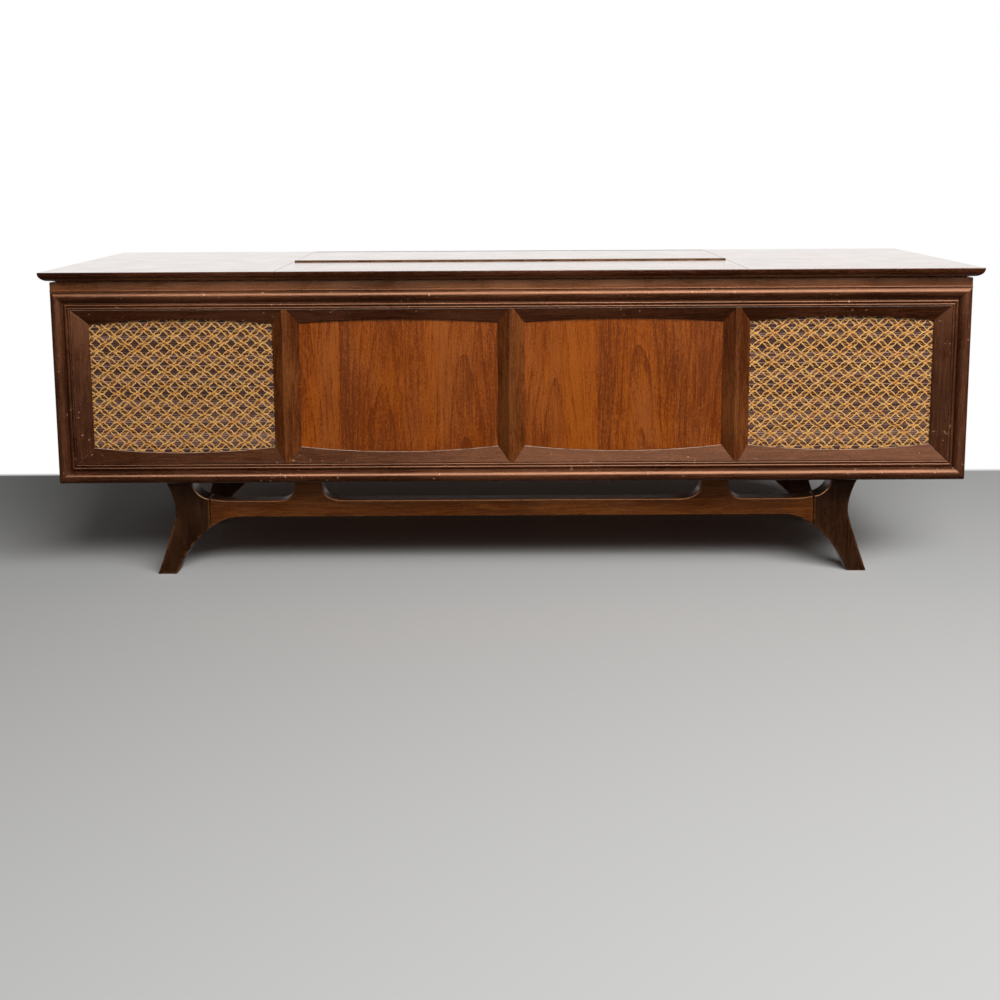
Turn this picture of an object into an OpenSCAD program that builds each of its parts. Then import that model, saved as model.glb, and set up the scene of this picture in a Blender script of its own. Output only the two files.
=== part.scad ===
// Stereo console: a long low cabinet on a curved base. A lid that folds in two covers a record
// changer and a radio, and each end holds a loudspeaker behind a cloth grille.
// Millimetres. X runs right, Y runs back and Z runs up, from the floor under the middle of the top.

/* [Top and lid] */
// Width of the top
top_w = 1870; // [1800:10:2000]
// Depth of the top
top_d = 560; // [540:5:620]
// Height of the top surface above the floor
top_z = 648; // [636:2:690]
// Thickness of the top boards and the lid leaves
top_t = 18; // [16:1:22]
// How far the moulded edge curves in under the top
edge_in = 18; // [10:1:24]
// Height of the square tip above the moulded edge
edge_tip = 2; // [1:0.5:4]
// Overhang of the top past the side panels
side_overhang = 16; // [8:1:24]
// Overhang of the top past the front moulding
front_overhang = 18; // [8:1:28]
// Half the width of the lid, out to the seam
lid_half_w = 468.5; // [460:0.5:480]
// Gap along the seam at each end of the lid
seam_gap = 1; // [0.6:0.1:2]
// Depth of the front lid leaf
front_leaf_d = 241; // [200:1:260]
// Depth of the fixed strip behind the lid
rear_strip_d = 16; // [12:1:22]

/* [Hinges] */
// Knuckles along each continuous hinge
knuckle_count = 28; // [16:2:36]
// Outer radius of a knuckle
knuckle_r = 1.6; // [1.4:0.1:2.4]
// Radius of the hinge pin
pin_r = 0.7; // [0.5:0.05:0.9]
// Depth of the back hinge's pin below the top
back_pin_drop = 1.2; // [0.8:0.1:1.4]
// Thickness of a hinge plate
plate_t = 1; // [0.8:0.1:1.6]
// Height of a hinge plate on the edge of its board
plate_h = 12; // [8:1:13]
// Slit between the two plates of a hinge
plate_slit = 0.3; // [0.2:0.05:0.6]

/* [Cabinet] */
// Height of the cabinet's underside above the floor
base_h = 218; // [200:2:226]
// Height of the shadow gap under the top
gap_h = 3; // [2:0.5:8]
// Depth of the shadow gap
gap_in = 10; // [6:1:14]
// Thickness of a side panel
side_t = 20; // [16:1:26]
// Thickness of the bottom board
bottom_t = 18; // [15:1:24]
// Thickness of the inner partitions
partition_t = 18; // [14:1:22]
// Thickness of the back panel
back_t = 5; // [3:0.5:8]
// Depth of the back panel behind the cabinet's rear edges
back_inset = 3; // [1:0.5:8]
// Height of the rail under the rear strip
rear_rail_h = 40; // [25:1:50]
// Depth of the rail under the rear strip
rear_rail_d = 20; // [17:1:24]

/* [Front frame] */
// Height of the flat fascia above the moulding
fascia_h = 19.5; // [14:0.5:28]
// Thickness of the fascia
fascia_t = 20; // [16:1:23]
// Radius of the bead along the foot of the fascia
fascia_bead_r = 2; // [1.5:0.25:2.5]
// Face width of the frame moulding
moulding_w = 37; // [35.5:0.5:44]
// Depth of the frame moulding
moulding_t = 24; // [22:1:30]
// Thickness of the moulding beside its round roll
moulding_base_t = 12; // [8:1:15]
// Radius of the roll
roll_r = 14; // [12:0.5:15]
// Distance from the moulding's outer edge to the middle of the roll
roll_u = 9.5; // [7:0.5:10]
// Radius of the outer of the two inner beads
outer_bead_r = 3.2; // [2:0.2:3.4]
// Radius of the inner bead
inner_bead_r = 2.6; // [2:0.2:2.8]
// Face width of the splayed boards inside the moulding
splay_w = 31; // [24:1:36]
// Thickness of a splayed board at its outer edge
splay_t = 18; // [14:0.5:20]
// Thickness of a splayed board at its inner edge
splay_lip = 2; // [1:0.5:4]
// Rise of the curved upper and lower edges of each opening
opening_rise = 10; // [4:1:16]
// Distance from the middle to the outer pilasters
pilaster_x = 455; // [440:1:470]
// Width of a pilaster at its foot
pilaster_w = 54; // [48:1:64]
// Width of a pilaster's nose
pilaster_nose = 9; // [6:1:14]
// Thickness of the two front panels
panel_t = 6; // [4:0.5:10]

/* [Loudspeakers] */
// Thickness of the grille cloth
cloth_t = 1.2; // [0.8:0.1:2]
// Thickness of the speaker board
baffle_t = 16; // [12:1:20]
// Radius of the woofer's flange
woofer_r = 103; // [98:1:115]
// Radius of the woofer's hole in the speaker board
woofer_hole_r = 91; // [86:1:93]
// Depth of the woofer behind the speaker board
woofer_depth = 92; // [80:1:110]
// Radius of the woofer's magnet
magnet_r = 48; // [40:1:55]
// Radius of the tweeter's flange
tweeter_r = 45; // [40:1:55]
// Radius of the tweeter's hole in the speaker board
tweeter_hole_r = 36; // [30:1:37]
// Height of the speakers above the cabinet's underside
speaker_rise = 193; // [180:1:205]

/* [Base] */
// Distance from the front edge of the top back to the front legs
leg_setback = 92; // [60:2:120]
// Distance from the rear edge of the top forward to the rear legs
rear_setback = 76; // [40:2:120]
// Thickness of a leg
leg_t = 42; // [36:1:50]
// Thickness of a base rail
rail_t = 34; // [26:1:40]
// Distance from the middle to the outer corner of a foot
foot_x = 748; // [735:1:770]
// Width of a foot
foot_w = 40; // [34:1:50]
// Distance from the middle to a leg's waist
waist_x = 706; // [695:1:715]
// Height of a leg's waist
waist_z = 132; // [120:1:150]
// Distance from the middle to the outer corner at the top of a leg
leg_top_x = 735; // [716:1:750]
// Width of the top of a leg
leg_top_w = 63; // [44:1:70]
// Distance from the middle to the joint between leg and rail
joint_x = 634; // [620:1:640]
// Height of the lower end of that joint
joint_low_z = 100; // [90:1:108]
// Height of the upper end of that joint
joint_high_z = 163; // [160:1:170]
// Height of the rail's lower edge
rail_low_z = 122; // [112:1:130]
// Height of the rail's upper edge
rail_high_z = 158; // [150:1:159]
// Distance from the middle to a post on the rail
post_x = 426.5; // [400:0.5:440]
// Width of a post
post_w = 57; // [45:1:70]
// Run of a post's flare on the side away from the middle
post_flare_out = 32; // [20:1:45]
// Run of a post's flare on the side towards the middle
post_flare_in = 48; // [20:1:60]
// Height of the flare at the foot of a post
post_flare_h = 36; // [20:1:40]
// Width of a cross rail
cross_w = 44; // [30:1:57]
// Height of a cross rail
cross_h = 38; // [25:1:50]

/* [Record changer] */
// Depth of the deck board below the lid
deck_drop = 142; // [135:1:160]
// Thickness of the deck board
deck_t = 18; // [14:1:22]
// Distance from the middle to the divider beside the changer
divider_x = 46; // [40:1:60]
// Distance of the spindle left of the middle
spindle_x = 215; // [205:1:225]
// Distance of the spindle in front of the middle
spindle_y = 5; // [0:1:15]
// Thickness of the changer's metal plate
changer_t = 3; // [2:0.5:4]
// Radius of the platter
platter_r = 135; // [128:1:138]
// Thickness of the platter's rim
platter_rim_t = 6; // [4:0.5:8]
// Height of the platter above the changer's plate
platter_h = 15; // [15:0.5:18]
// Thickness of the rubber mat
mat_t = 3; // [2:0.5:4]
// Radius of the spindle
spindle_r = 3.6; // [3:0.1:4]
// Radius of the platter's bearing on the spindle's foot
bearing_r = 5; // [4.5:0.1:7]
// Height of the spindle above the changer's plate
spindle_h = 111; // [90:1:113]
// Radius of the idler wheel
idler_r = 20; // [16:1:24]
// Radius of the motor's pulley
pulley_r = 5; // [4:0.5:7]
// Radius of the motor
motor_r = 36; // [30:1:42]
// Height of the motor
motor_h = 60; // [45:1:70]
// Distance of the tonearm's pivot right of the spindle
arm_pivot_x = 172; // [168:1:176]
// Distance of the tonearm's pivot behind the spindle
arm_pivot_y = 105; // [95:1:110]
// Height of the tonearm above the changer's plate
arm_h = 37; // [35:1:42]
// Length of the tonearm from its pivot to the stylus
arm_len = 215; // [205:1:222]
// Radius of the tonearm's tube
arm_r = 4.5; // [3.5:0.5:6]

/* [Radio] */
// Depth of the control panel below the lid
control_drop = 70; // [60:1:78]
// Thickness of the control panel
control_t = 4; // [3.5:0.5:6]
// Width of the dial's glass
glass_w = 280; // [240:2:300]
// Depth of the dial's glass
glass_d = 70; // [60:1:80]
// Thickness of the dial's glass
glass_t = 3; // [2:0.25:3]
// Radius of the tuning knob
tuning_r = 26; // [22:1:30]
// Radius of the other knobs
knob_r = 16; // [13:1:20]
// Height of the knobs
knob_h = 20; // [16:1:26]
// Radius of the knobs' shafts
shaft_r = 3; // [2.5:0.25:4]
// Side of a push button
button_w = 16; // [12:1:20]
// Height of a push button above the panel
button_h = 9; // [7:1:12]
// Thickness of the chassis's steel
chassis_t = 1.5; // [1:0.25:2]

/* [Hidden] */
$fn = 64;

// Clearances
run_clear = 0.06;   // a turning shaft in its bore, on the radius
slide_clear = 0.3;  // pieces that pass each other
cut_over = 1;       // how far a cutter passes the face that it cuts

// Wood and metal colours
dark_wood = "#5a2f1b";
rail_wood = "#8a5226";
panel_wood = "#93501f";
top_wood = "#8c6a58";
board_wood = "#a5825a";
steel = "#b9bbbd";
brass = "#b08d4a";
black_plastic = "#231f1d";
cream_plastic = "#e4dac0";

// Overall places of the cabinet
top_half_w = top_w / 2;
body_half_w = top_half_w - side_overhang;
inner_half_w = body_half_w - side_t;
top_front_y = -top_d / 2;
rear_y = top_d / 2;
front_y = top_front_y + front_overhang;
panel_y = front_y + moulding_t;
back_y = rear_y - back_inset - back_t;
neck_z = top_z - top_t;
body_top_z = neck_z - gap_h;
floor_z = base_h + bottom_t;
frame_top_z = body_top_z - fascia_h;

// Places inside the front frame
splay_out_x = body_half_w - moulding_w;
splay_in_x = splay_out_x - splay_w;
splay_top_z = frame_top_z - moulding_w;
splay_low_z = base_h + moulding_w;
open_low_z = splay_low_z + splay_w;
grille_in_x = pilaster_x + pilaster_w / 2;
panel_out_x = pilaster_x - pilaster_w / 2;
panel_seam = 0.5;
quirk_w = 1.3;       // groove between the roll and the beads
bead_margin = 0.4;   // from the inner bead to the moulding's inner edge
outer_bead_u = roll_u + roll_r + quirk_w + outer_bead_r;
inner_bead_u = moulding_w - bead_margin - inner_bead_r;

// Bays between the partitions
bay_half_w = lid_half_w - partition_t / 2;
end_bay_x = lid_half_w + partition_t / 2;
bay_front_y = panel_y + panel_t;
cloth_y = panel_y + cloth_t;
baffle_rear_y = cloth_y + baffle_t;

// The two speakers of an end bay, evenly spaced across it
speaker_gap = (inner_half_w - end_bay_x - 2 * (woofer_r + tweeter_r)) / 3;
woofer_x = end_bay_x + speaker_gap + woofer_r;
tweeter_x = inner_half_w - speaker_gap - tweeter_r;
speaker_z = base_h + speaker_rise;

// Hinges
board_gap = plate_slit + 2 * plate_t;
back_gap = 2 * (knuckle_r + slide_clear);
fold_axis_y = top_front_y + front_leaf_d + board_gap / 2;
fold_axis_z = top_z + knuckle_r;
back_axis_y = rear_y - rear_strip_d - back_gap / 2;
back_axis_z = top_z - back_pin_drop;
hinge_end_gap = 2;
hinge_half_w = lid_half_w - hinge_end_gap;
knuckle_pitch = 2 * hinge_half_w / knuckle_count;
knuckle_gap = 0.4;

// Base
front_leg_y = top_front_y + leg_setback;
rear_leg_y = rear_y - rear_setback - leg_t;
rail_inset = (leg_t - rail_t) / 2;
leg_top_in_x = leg_top_x - leg_top_w;
waist_high_pull = 40; // how far above the waist its curve is drawn straight up
waist_low_pull = 16;  // the same below the waist
leg_low_run = 50;     // from the joint to the pull of the curve under the leg
rail_low_run = 29;    // from the joint to the pull of the curve under the rail
rail_low_start = 64;  // from the joint to where that curve starts
rail_high_run = 21;   // the same two places on the rail's upper edge
rail_high_start = 44;
joint_low_slope = (rail_low_z - joint_low_z) / rail_low_run;
joint_high_slope = (joint_high_z - rail_high_z) / rail_high_run;
curve_steps = 10;

// Facets round the very large circles that curve the openings' edges
long_arc_facets = 720;

// Record changer
spindle_place = [-spindle_x, -spindle_y, 0];
deck_z = neck_z - deck_drop;
plate_z = deck_z + changer_t;
plate_left = -185;
plate_right = 200;
plate_front = -170;
plate_rear = 150;
plate_corner_r = 18;
boss_r = 12;
boss_h = 3;
platter_z = plate_z + platter_h;
platter_disc_t = 3;
platter_skirt_h = 11;
rim_in_r = platter_r - platter_rim_t;
mat_margin = 7;
idler_t = 5;
idler_room = 1;
idler_z = platter_z - platter_disc_t - idler_room - idler_t;
idler_angle = 40;
idler_place = (rim_in_r - idler_r - slide_clear) * [cos(idler_angle), sin(idler_angle), 0];
pulley_angle = 260;
pulley_place = idler_place + (idler_r + pulley_r + slide_clear) * [cos(pulley_angle), sin(pulley_angle), 0];
stud_r = 2.5;
motor_shaft_r = 2;
motor_shaft_h = 18;
motor_room = 8;
pulley_room = 1;
arm_place = [arm_pivot_x, arm_pivot_y, 0];
arm_z = plate_z + arm_h;
pillar_r = 13;
pillar_shaft_r = 4;
ear_in_x = 9.5;
ear_t = 3.5;
ear_drop = 6;
ear_rise = 8;
arm_pin_r = 1.5;
arm_rest_y = -130;
stylus_room = 2.5;
stylus_drop = arm_h - platter_h - mat_t - stylus_room;
overarm_place = [-150, 120, 0];
overarm_shaft_r = 4;
overarm_r = 3.5;
overarm_lift = 2;
overarm_z = plate_z + spindle_h + overarm_lift + overarm_r;
overarm_pad_r = 8;
lever_place = [128, -146, 0];

// Radio
control_z = neck_z - control_drop;
control_low_z = control_z - control_t;
dial_place = [253, 95, 0];
glass_ledge = 5;
chassis_left = 82;
chassis_right = 436;
chassis_front = -150;
chassis_rear = 150;
pointer_space = 11;
chassis_top_z = control_low_z - pointer_space;
chassis_h = 70;
chassis_cells = 3;
pointer_w = 1.6;
pointer_d = 52;
pointer_h = 2.6;
tuning_place = [392, -25, 0];
knob_first_x = 105;
knob_pitch = 66;
knob_places = [for (i = [0:3]) [knob_first_x + i * knob_pitch, tuning_place.y, 0]];
transformer_place = [300, 90, floor_z];
button_row_y = -112;
button_pitch = 48;
button_places = [for (i = [-1:1]) [dial_place.x + i * button_pitch, button_row_y, 0]];

// A box between its lowest and highest corners
module block(low, high) {
    translate(low) cube(high - low);
}

// An outline in Y and Z, carried along X
module along_x(x_low, x_high) {
    translate([x_low, 0, 0]) rotate([90, 0, 90]) linear_extrude(x_high - x_low) children();
}

// An outline in X and Z, carried along Y
module along_y(y_low, y_high) {
    translate([0, y_high, 0]) rotate([90, 0, 0]) linear_extrude(y_high - y_low) children();
}

// An outline in X and Y, carried along Z
module along_z(z_low, z_high) {
    translate([0, 0, z_low]) linear_extrude(z_high - z_low) children();
}

// A round bar along X, from the middle of its left end
module bar_x(place, length, r) {
    translate(place) rotate([0, 90, 0]) cylinder(h = length, r = r);
}

// A round bar along Y, from the middle of its front end
module bar_y(place, length, r) {
    translate(place) rotate([-90, 0, 0]) cylinder(h = length, r = r);
}

// The piece itself and its mirror image on the other side of the middle
module both_sides() {
    children();
    mirror([1, 0, 0]) children();
}

// A curve from one point to another, drawn towards a third
function curve(from, pull, to) = [
    for (i = [0:curve_steps])
        let (t = i / curve_steps)
        (1 - t) * (1 - t) * from + 2 * t * (1 - t) * pull + t * t * to
];

// Points on the other side of the middle, in the opposite order
function mirrored(points) = [for (i = [len(points) - 1:-1:0]) [-points[i].x, points[i].y]];

// Cross-section of a top board: the moulded edge at zero, and the board's other edge
function edge_outline(length) = concat(
    [[length, neck_z], [length, top_z], [0, top_z]],
    [
        for (i = [0:curve_steps])
            let (a = 90 * i / curve_steps)
            [edge_in * (1 - cos(a)), top_z - edge_tip - (top_t - edge_tip) * sin(a)]
    ]
);

// The top

module top_board(side) {
    seam_x = lid_half_w + seam_gap / 2;
    mirror([side < 0 ? 1 : 0, 0, 0]) intersection() {
        along_x(seam_x, top_half_w) translate([top_front_y, 0]) polygon(edge_outline(top_d));
        along_y(top_front_y, rear_y) translate([top_half_w, 0]) mirror([1, 0])
            polygon(edge_outline(top_half_w - seam_x));
    }
}

module left_top_board() {
    color(top_wood) top_board(-1);
}

module right_top_board() {
    color(top_wood) top_board(1);
}

module rear_top_strip() {
    half_w = lid_half_w - seam_gap / 2;
    color(top_wood) union() {
        block([-half_w, rear_y - rear_strip_d, neck_z], [half_w, rear_y, top_z]);
        block([-bay_half_w, back_y - rear_rail_d, neck_z - rear_rail_h], [bay_half_w, back_y, neck_z]);
    }
}

module front_lid_leaf() {
    half_w = lid_half_w - seam_gap / 2;
    color(top_wood) along_x(-half_w, half_w) translate([top_front_y, 0])
        polygon(edge_outline(front_leaf_d));
}

module rear_lid_leaf() {
    half_w = lid_half_w - seam_gap / 2;
    leaf_front_y = fold_axis_y + board_gap / 2;
    leaf_rear_y = back_axis_y - back_gap / 2;
    color(top_wood) block([-half_w, leaf_front_y, neck_z], [half_w, leaf_rear_y, top_z]);
}

// The continuous hinges: side is -1 for the plate in front of the pin and 1 for the one behind it,
// on the edges of two boards with a gap between them

module hinge_plate(axis_y, axis_z, gap, side, first) {
    plate_top_z = min(top_z, axis_z - knuckle_r) - slide_clear;
    tab_top_z = axis_z - pin_r - 2 * run_clear;
    face_y = side < 0 ? -gap / 2 : gap / 2 - plate_t;
    knuckle_w = knuckle_pitch - knuckle_gap;
    translate([0, axis_y, 0]) difference() {
        union() {
            translate([-hinge_half_w, face_y, plate_top_z - plate_h])
                cube([2 * hinge_half_w, plate_t, plate_h]);
            for (i = [first:2:knuckle_count - 1]) {
                knuckle_x = -hinge_half_w + i * knuckle_pitch + knuckle_gap / 2;
                translate([knuckle_x, face_y, plate_top_z - cut_over])
                    cube([knuckle_w, plate_t, tab_top_z - plate_top_z + cut_over]);
                bar_x([knuckle_x, 0, axis_z], knuckle_w, knuckle_r);
            }
        }
        bar_x(
            [-hinge_half_w - cut_over, 0, axis_z],
            2 * (hinge_half_w + cut_over),
            pin_r + run_clear
        );
    }
}

module hinge_pin(axis_y, axis_z) {
    bar_x([-hinge_half_w, axis_y, axis_z], 2 * hinge_half_w, pin_r);
}

module fold_hinge_front_plate() {
    color(brass) hinge_plate(fold_axis_y, fold_axis_z, board_gap, -1, 1);
}

module fold_hinge_rear_plate() {
    color(brass) {
        hinge_plate(fold_axis_y, fold_axis_z, board_gap, 1, 0);
        hinge_pin(fold_axis_y, fold_axis_z);
    }
}

module back_hinge_lid_plate() {
    color(brass) hinge_plate(back_axis_y, back_axis_z, back_gap, -1, 1);
}

module back_hinge_fixed_plate() {
    color(brass) {
        hinge_plate(back_axis_y, back_axis_z, back_gap, 1, 0);
        hinge_pin(back_axis_y, back_axis_z);
    }
}

// The cabinet's boards

module side_panel(side) {
    mirror([side < 0 ? 1 : 0, 0, 0]) union() {
        block([inner_half_w, panel_y, base_h], [body_half_w, rear_y, body_top_z]);
        block([inner_half_w, panel_y, body_top_z], [body_half_w - gap_in, rear_y, neck_z]);
    }
}

module left_side_panel() {
    color(dark_wood) side_panel(-1);
}

module right_side_panel() {
    color(dark_wood) side_panel(1);
}

module bottom_board() {
    color(board_wood) block([-inner_half_w, panel_y, base_h], [inner_half_w, back_y, floor_z]);
}

module partitions() {
    color(board_wood) {
        both_sides() block([bay_half_w, panel_y, floor_z], [end_bay_x, back_y, neck_z]);
        block([divider_x, bay_front_y, floor_z], [divider_x + partition_t, back_y, control_low_z]);
    }
}

// The back panel, with its rows of slots and the hole for the mains lead

vent_w = 6;
vent_h = 70;
vent_pitch = 22;
vent_count = 12;
vent_rows = [320, 480];
vent_columns = [-690, -230, 230, 690];
cord_place = [330, 285];
cord_hole_r = 8;
screw_r = 2;
screw_head_r = 4;
screw_head_h = 2.5;
screw_len = 20;
screw_inset = 9;

module vent_slot() {
    square([vent_w, vent_h - vent_w], center = true);
    for (side = [-1, 1])
        translate([0, side * (vent_h - vent_w) / 2]) circle(d = vent_w);
}

module vent_block() {
    for (i = [0:vent_count - 1])
        translate([(i - (vent_count - 1) / 2) * vent_pitch, 0]) vent_slot();
}

// Where the screws go in: along the bottom board, up each partition and along the rear rail
screw_low_z = base_h + screw_inset;
screw_low_pitch = 210;
screw_high_pitch = 200;
screw_side_zs = [360, 480];
screw_points = concat(
    [for (i = [-4:4]) [i * screw_low_pitch, screw_low_z]],
    [for (i = [-2:2]) [i * screw_high_pitch, neck_z - rear_rail_h / 2]],
    [for (side = [-1, 1], z = screw_side_zs) [side * lid_half_w, z]]
);

module back_panel() {
    color("#7d5a3c") along_y(back_y, back_y + back_t) difference() {
        translate([-inner_half_w, base_h]) square([2 * inner_half_w, neck_z - base_h]);
        for (x = vent_columns, z = vent_rows)
            translate([x, z]) vent_block();
        translate(cord_place) circle(cord_hole_r);
        for (point = screw_points)
            translate(point) circle(screw_r + slide_clear);
    }
}

module cabinet_screws() {
    color(steel) for (point = screw_points)
        translate([point.x, back_y + back_t, point.y]) {
            bar_y([0, 0, 0], screw_head_h, screw_head_r);
            bar_y([0, -screw_len, 0], screw_len, screw_r);
        }
}

module cord_grommet() {
    flange_t = 1.5;
    wall = 1.5;
    color(black_plastic) translate([cord_place.x, back_y, cord_place.y]) difference() {
        union() {
            bar_y([0, 0, 0], back_t, cord_hole_r);
            bar_y([0, back_t, 0], flange_t, cord_hole_r + 2 * wall);
        }
        bar_y([0, -cut_over, 0], back_t + flange_t + 2 * cut_over, cord_hole_r - 2 * wall);
    }
}

// The front frame

module front_fascia() {
    color(dark_wood) union() {
        block([-body_half_w, panel_y - fascia_t, frame_top_z], [body_half_w, panel_y, body_top_z]);
        block(
            [-body_half_w + gap_in, front_y + gap_in, body_top_z],
            [body_half_w - gap_in, panel_y, neck_z]
        );
        bar_x(
            [-body_half_w, panel_y - fascia_t, frame_top_z + fascia_bead_r],
            2 * body_half_w,
            fascia_bead_r
        );
    }
}

// Cross-section of the moulding: across from its outer edge, and forward from its back.
// Its roll may hang out past that edge.
module moulding_outline(hang = 0) {
    square([moulding_w, moulding_base_t]);
    intersection() {
        translate([roll_u, moulding_t - roll_r]) circle(roll_r);
        translate([-hang, 0]) square([moulding_w + hang, moulding_t]);
    }
    translate([outer_bead_u, splay_t - outer_bead_r]) circle(outer_bead_r);
    translate([outer_bead_u - outer_bead_r, 0]) square([2 * outer_bead_r, splay_t - outer_bead_r]);
    translate([inner_bead_u, splay_t - inner_bead_r]) circle(inner_bead_r);
    translate([inner_bead_u - inner_bead_r, 0]) square([2 * inner_bead_r, splay_t - inner_bead_r]);
}

// A frame member's mitred face: half its outer and inner lengths, and the two edges' places
module mitre_face(half_out, half_in, place_out, place_in) {
    polygon([[-half_out, place_out], [half_out, place_out], [half_in, place_in], [-half_in, place_in]]);
}

frame_mid_z = (frame_top_z + base_h) / 2;
frame_half_h = (frame_top_z - base_h) / 2;

module moulding_rail(hang = 0) {
    intersection() {
        along_x(-body_half_w, body_half_w) translate([panel_y, base_h]) rotate(90) moulding_outline(hang);
        along_y(front_y, panel_y) union() {
            mitre_face(body_half_w, splay_out_x, base_h, splay_low_z);
            if (hang > 0) translate([-body_half_w, base_h - hang]) square([2 * body_half_w, hang]);
        }
    }
}

// The lower rail keeps the underside of its roll, which turns in below the cabinet
module moulding_rails() {
    color(dark_wood) {
        moulding_rail(roll_r - roll_u);
        translate([0, 0, 2 * frame_mid_z]) mirror([0, 0, 1]) moulding_rail();
    }
}

module moulding_stiles() {
    inner_half_h = frame_half_h - moulding_w;
    color(dark_wood) both_sides() intersection() {
        along_z(base_h, frame_top_z) translate([body_half_w, panel_y]) rotate(180) moulding_outline();
        translate([0, 0, frame_mid_z]) along_y(front_y, panel_y) rotate(90)
            mitre_face(frame_half_h, inner_half_h, -body_half_w, -splay_out_x);
    }
}

// Cross-section of a splayed board: across from its outer edge, and forward from its back
module splay_outline() {
    polygon([[0, 0], [splay_w, 0], [splay_w, splay_lip], [0, splay_t]]);
}

module splay_rail_blank() {
    along_x(-splay_out_x, splay_out_x) translate([panel_y, splay_low_z]) rotate(90) splay_outline();
}

// The round cutter that curves the edge of one opening
module opening_cutter(x_low, x_high) {
    half_w = (x_high - x_low) / 2;
    r = (half_w * half_w + opening_rise * opening_rise) / (2 * opening_rise);
    place = [(x_low + x_high) / 2, panel_y - splay_t - cut_over, open_low_z - opening_rise + r];
    bar_y(place, splay_t + 2 * cut_over, r, $fn = long_arc_facets);
}

module splay_rail() {
    difference() {
        intersection() {
            splay_rail_blank();
            along_y(panel_y - splay_t, panel_y)
                mitre_face(splay_out_x, splay_in_x, splay_low_z, open_low_z);
        }
        both_sides() {
            opening_cutter(grille_in_x, splay_in_x);
            opening_cutter(pilaster_w / 2, panel_out_x);
        }
    }
}

module splay_rails() {
    color(dark_wood) {
        splay_rail();
        translate([0, 0, 2 * frame_mid_z]) mirror([0, 0, 1]) splay_rail();
    }
}

module splay_stiles() {
    outer_half_h = frame_half_h - moulding_w;
    color(dark_wood) both_sides() intersection() {
        along_z(splay_low_z, splay_top_z) translate([splay_out_x, panel_y]) rotate(180) splay_outline();
        translate([0, 0, frame_mid_z]) along_y(panel_y - splay_t, panel_y) rotate(90)
            mitre_face(outer_half_h, outer_half_h - splay_w, -splay_out_x, -splay_in_x);
    }
}

module pilaster() {
    foot = pilaster_w / 2;
    nose = pilaster_nose / 2;
    half_outline = [[foot, 0], [foot, -splay_lip], [nose, -splay_t]];
    difference() {
        along_z(splay_low_z, splay_top_z) translate([0, panel_y])
            polygon(concat(half_outline, mirrored(half_outline)));
        splay_rail_blank();
        translate([0, 0, 2 * frame_mid_z]) mirror([0, 0, 1]) splay_rail_blank();
    }
}

module pilasters() {
    color(dark_wood) for (x = [-pilaster_x, 0, pilaster_x])
        translate([x, 0, 0]) pilaster();
}

module front_panels() {
    color(panel_wood) both_sides()
        block([panel_seam / 2, panel_y, floor_z], [bay_half_w, bay_front_y, body_top_z]);
}

// The loudspeakers

cloth_margin = 2;

module grille_cloth(side) {
    mirror([side < 0 ? 1 : 0, 0, 0]) block(
        [end_bay_x + cloth_margin, panel_y, floor_z + cloth_margin],
        [inner_half_w - cloth_margin, cloth_y, body_top_z - cloth_margin]
    );
}

module left_grille_cloth() {
    color("#9c7a48") grille_cloth(-1);
}

module right_grille_cloth() {
    color("#9c7a48") grille_cloth(1);
}

module speaker_baffles() {
    color(board_wood) both_sides() along_y(cloth_y, baffle_rear_y) difference() {
        translate([end_bay_x, floor_z]) square([inner_half_w - end_bay_x, body_top_z - floor_z]);
        translate([woofer_x, speaker_z]) circle(woofer_hole_r);
        translate([tweeter_x, speaker_z]) circle(tweeter_hole_r);
    }
}

// A speaker's round section turned about its axis, its front face on the back of the board
module turned_speaker(x) {
    translate([x, baffle_rear_y, speaker_z]) rotate([-90, 0, 0]) rotate_extrude() children();
}

flange_t = 3.5;
flange_in = 5;
magnet_t = 24;
basket_wall = 3;
neck_r = 34;

module woofer_frames() {
    lip_r = woofer_hole_r - flange_in;
    pot_h = woofer_depth - magnet_t;
    color("#4a4a4c") both_sides() turned_speaker(woofer_x) polygon([
        [lip_r, 0], [woofer_r, 0], [woofer_r, flange_t], [lip_r + basket_wall, flange_t],
        [neck_r + basket_wall, pot_h], [magnet_r, pot_h], [magnet_r, woofer_depth],
        [0, woofer_depth], [0, pot_h - basket_wall], [neck_r, pot_h - basket_wall], [lip_r, flange_t]
    ]);
}

module woofer_cones() {
    rim_r = woofer_hole_r - flange_in - slide_clear;
    apex_h = 44;
    apex_r = 24;
    cap_h = 36;
    paper_t = 2;
    color("#2c2826") both_sides() turned_speaker(woofer_x) polygon([
        [0, cap_h], [apex_r, apex_h - paper_t], [rim_r, 0], [rim_r, paper_t], [apex_r, apex_h], [0, apex_h]
    ]);
}

module tweeters() {
    lip_in = 3;
    lip_r = tweeter_hole_r - lip_in;
    apex_r = 9;
    apex_h = 16;
    cap_h = 14;
    pot_r = 18;
    pot_h = 24;
    depth = 44;
    color("#38342f") both_sides() turned_speaker(tweeter_x) polygon([
        [0, cap_h], [apex_r, apex_h], [lip_r, 0], [tweeter_r, 0], [tweeter_r, flange_t],
        [tweeter_hole_r, flange_t], [pot_r, pot_h], [pot_r, depth], [0, depth]
    ]);
}

// The base

leg_outline = concat(
    [[foot_x, 0]],
    curve(
        [foot_x - foot_w, 0],
        [joint_x + leg_low_run, joint_low_z - leg_low_run * joint_low_slope],
        [joint_x, joint_low_z]
    ),
    curve(
        [joint_x, joint_high_z],
        [leg_top_in_x, joint_high_z + (leg_top_in_x - joint_x) * joint_high_slope],
        [leg_top_in_x, base_h]
    ),
    curve([leg_top_x, base_h], [waist_x, waist_z + waist_high_pull], [waist_x, waist_z]),
    curve([waist_x, waist_z], [waist_x, waist_z - waist_low_pull], [foot_x, 0])
);

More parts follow.
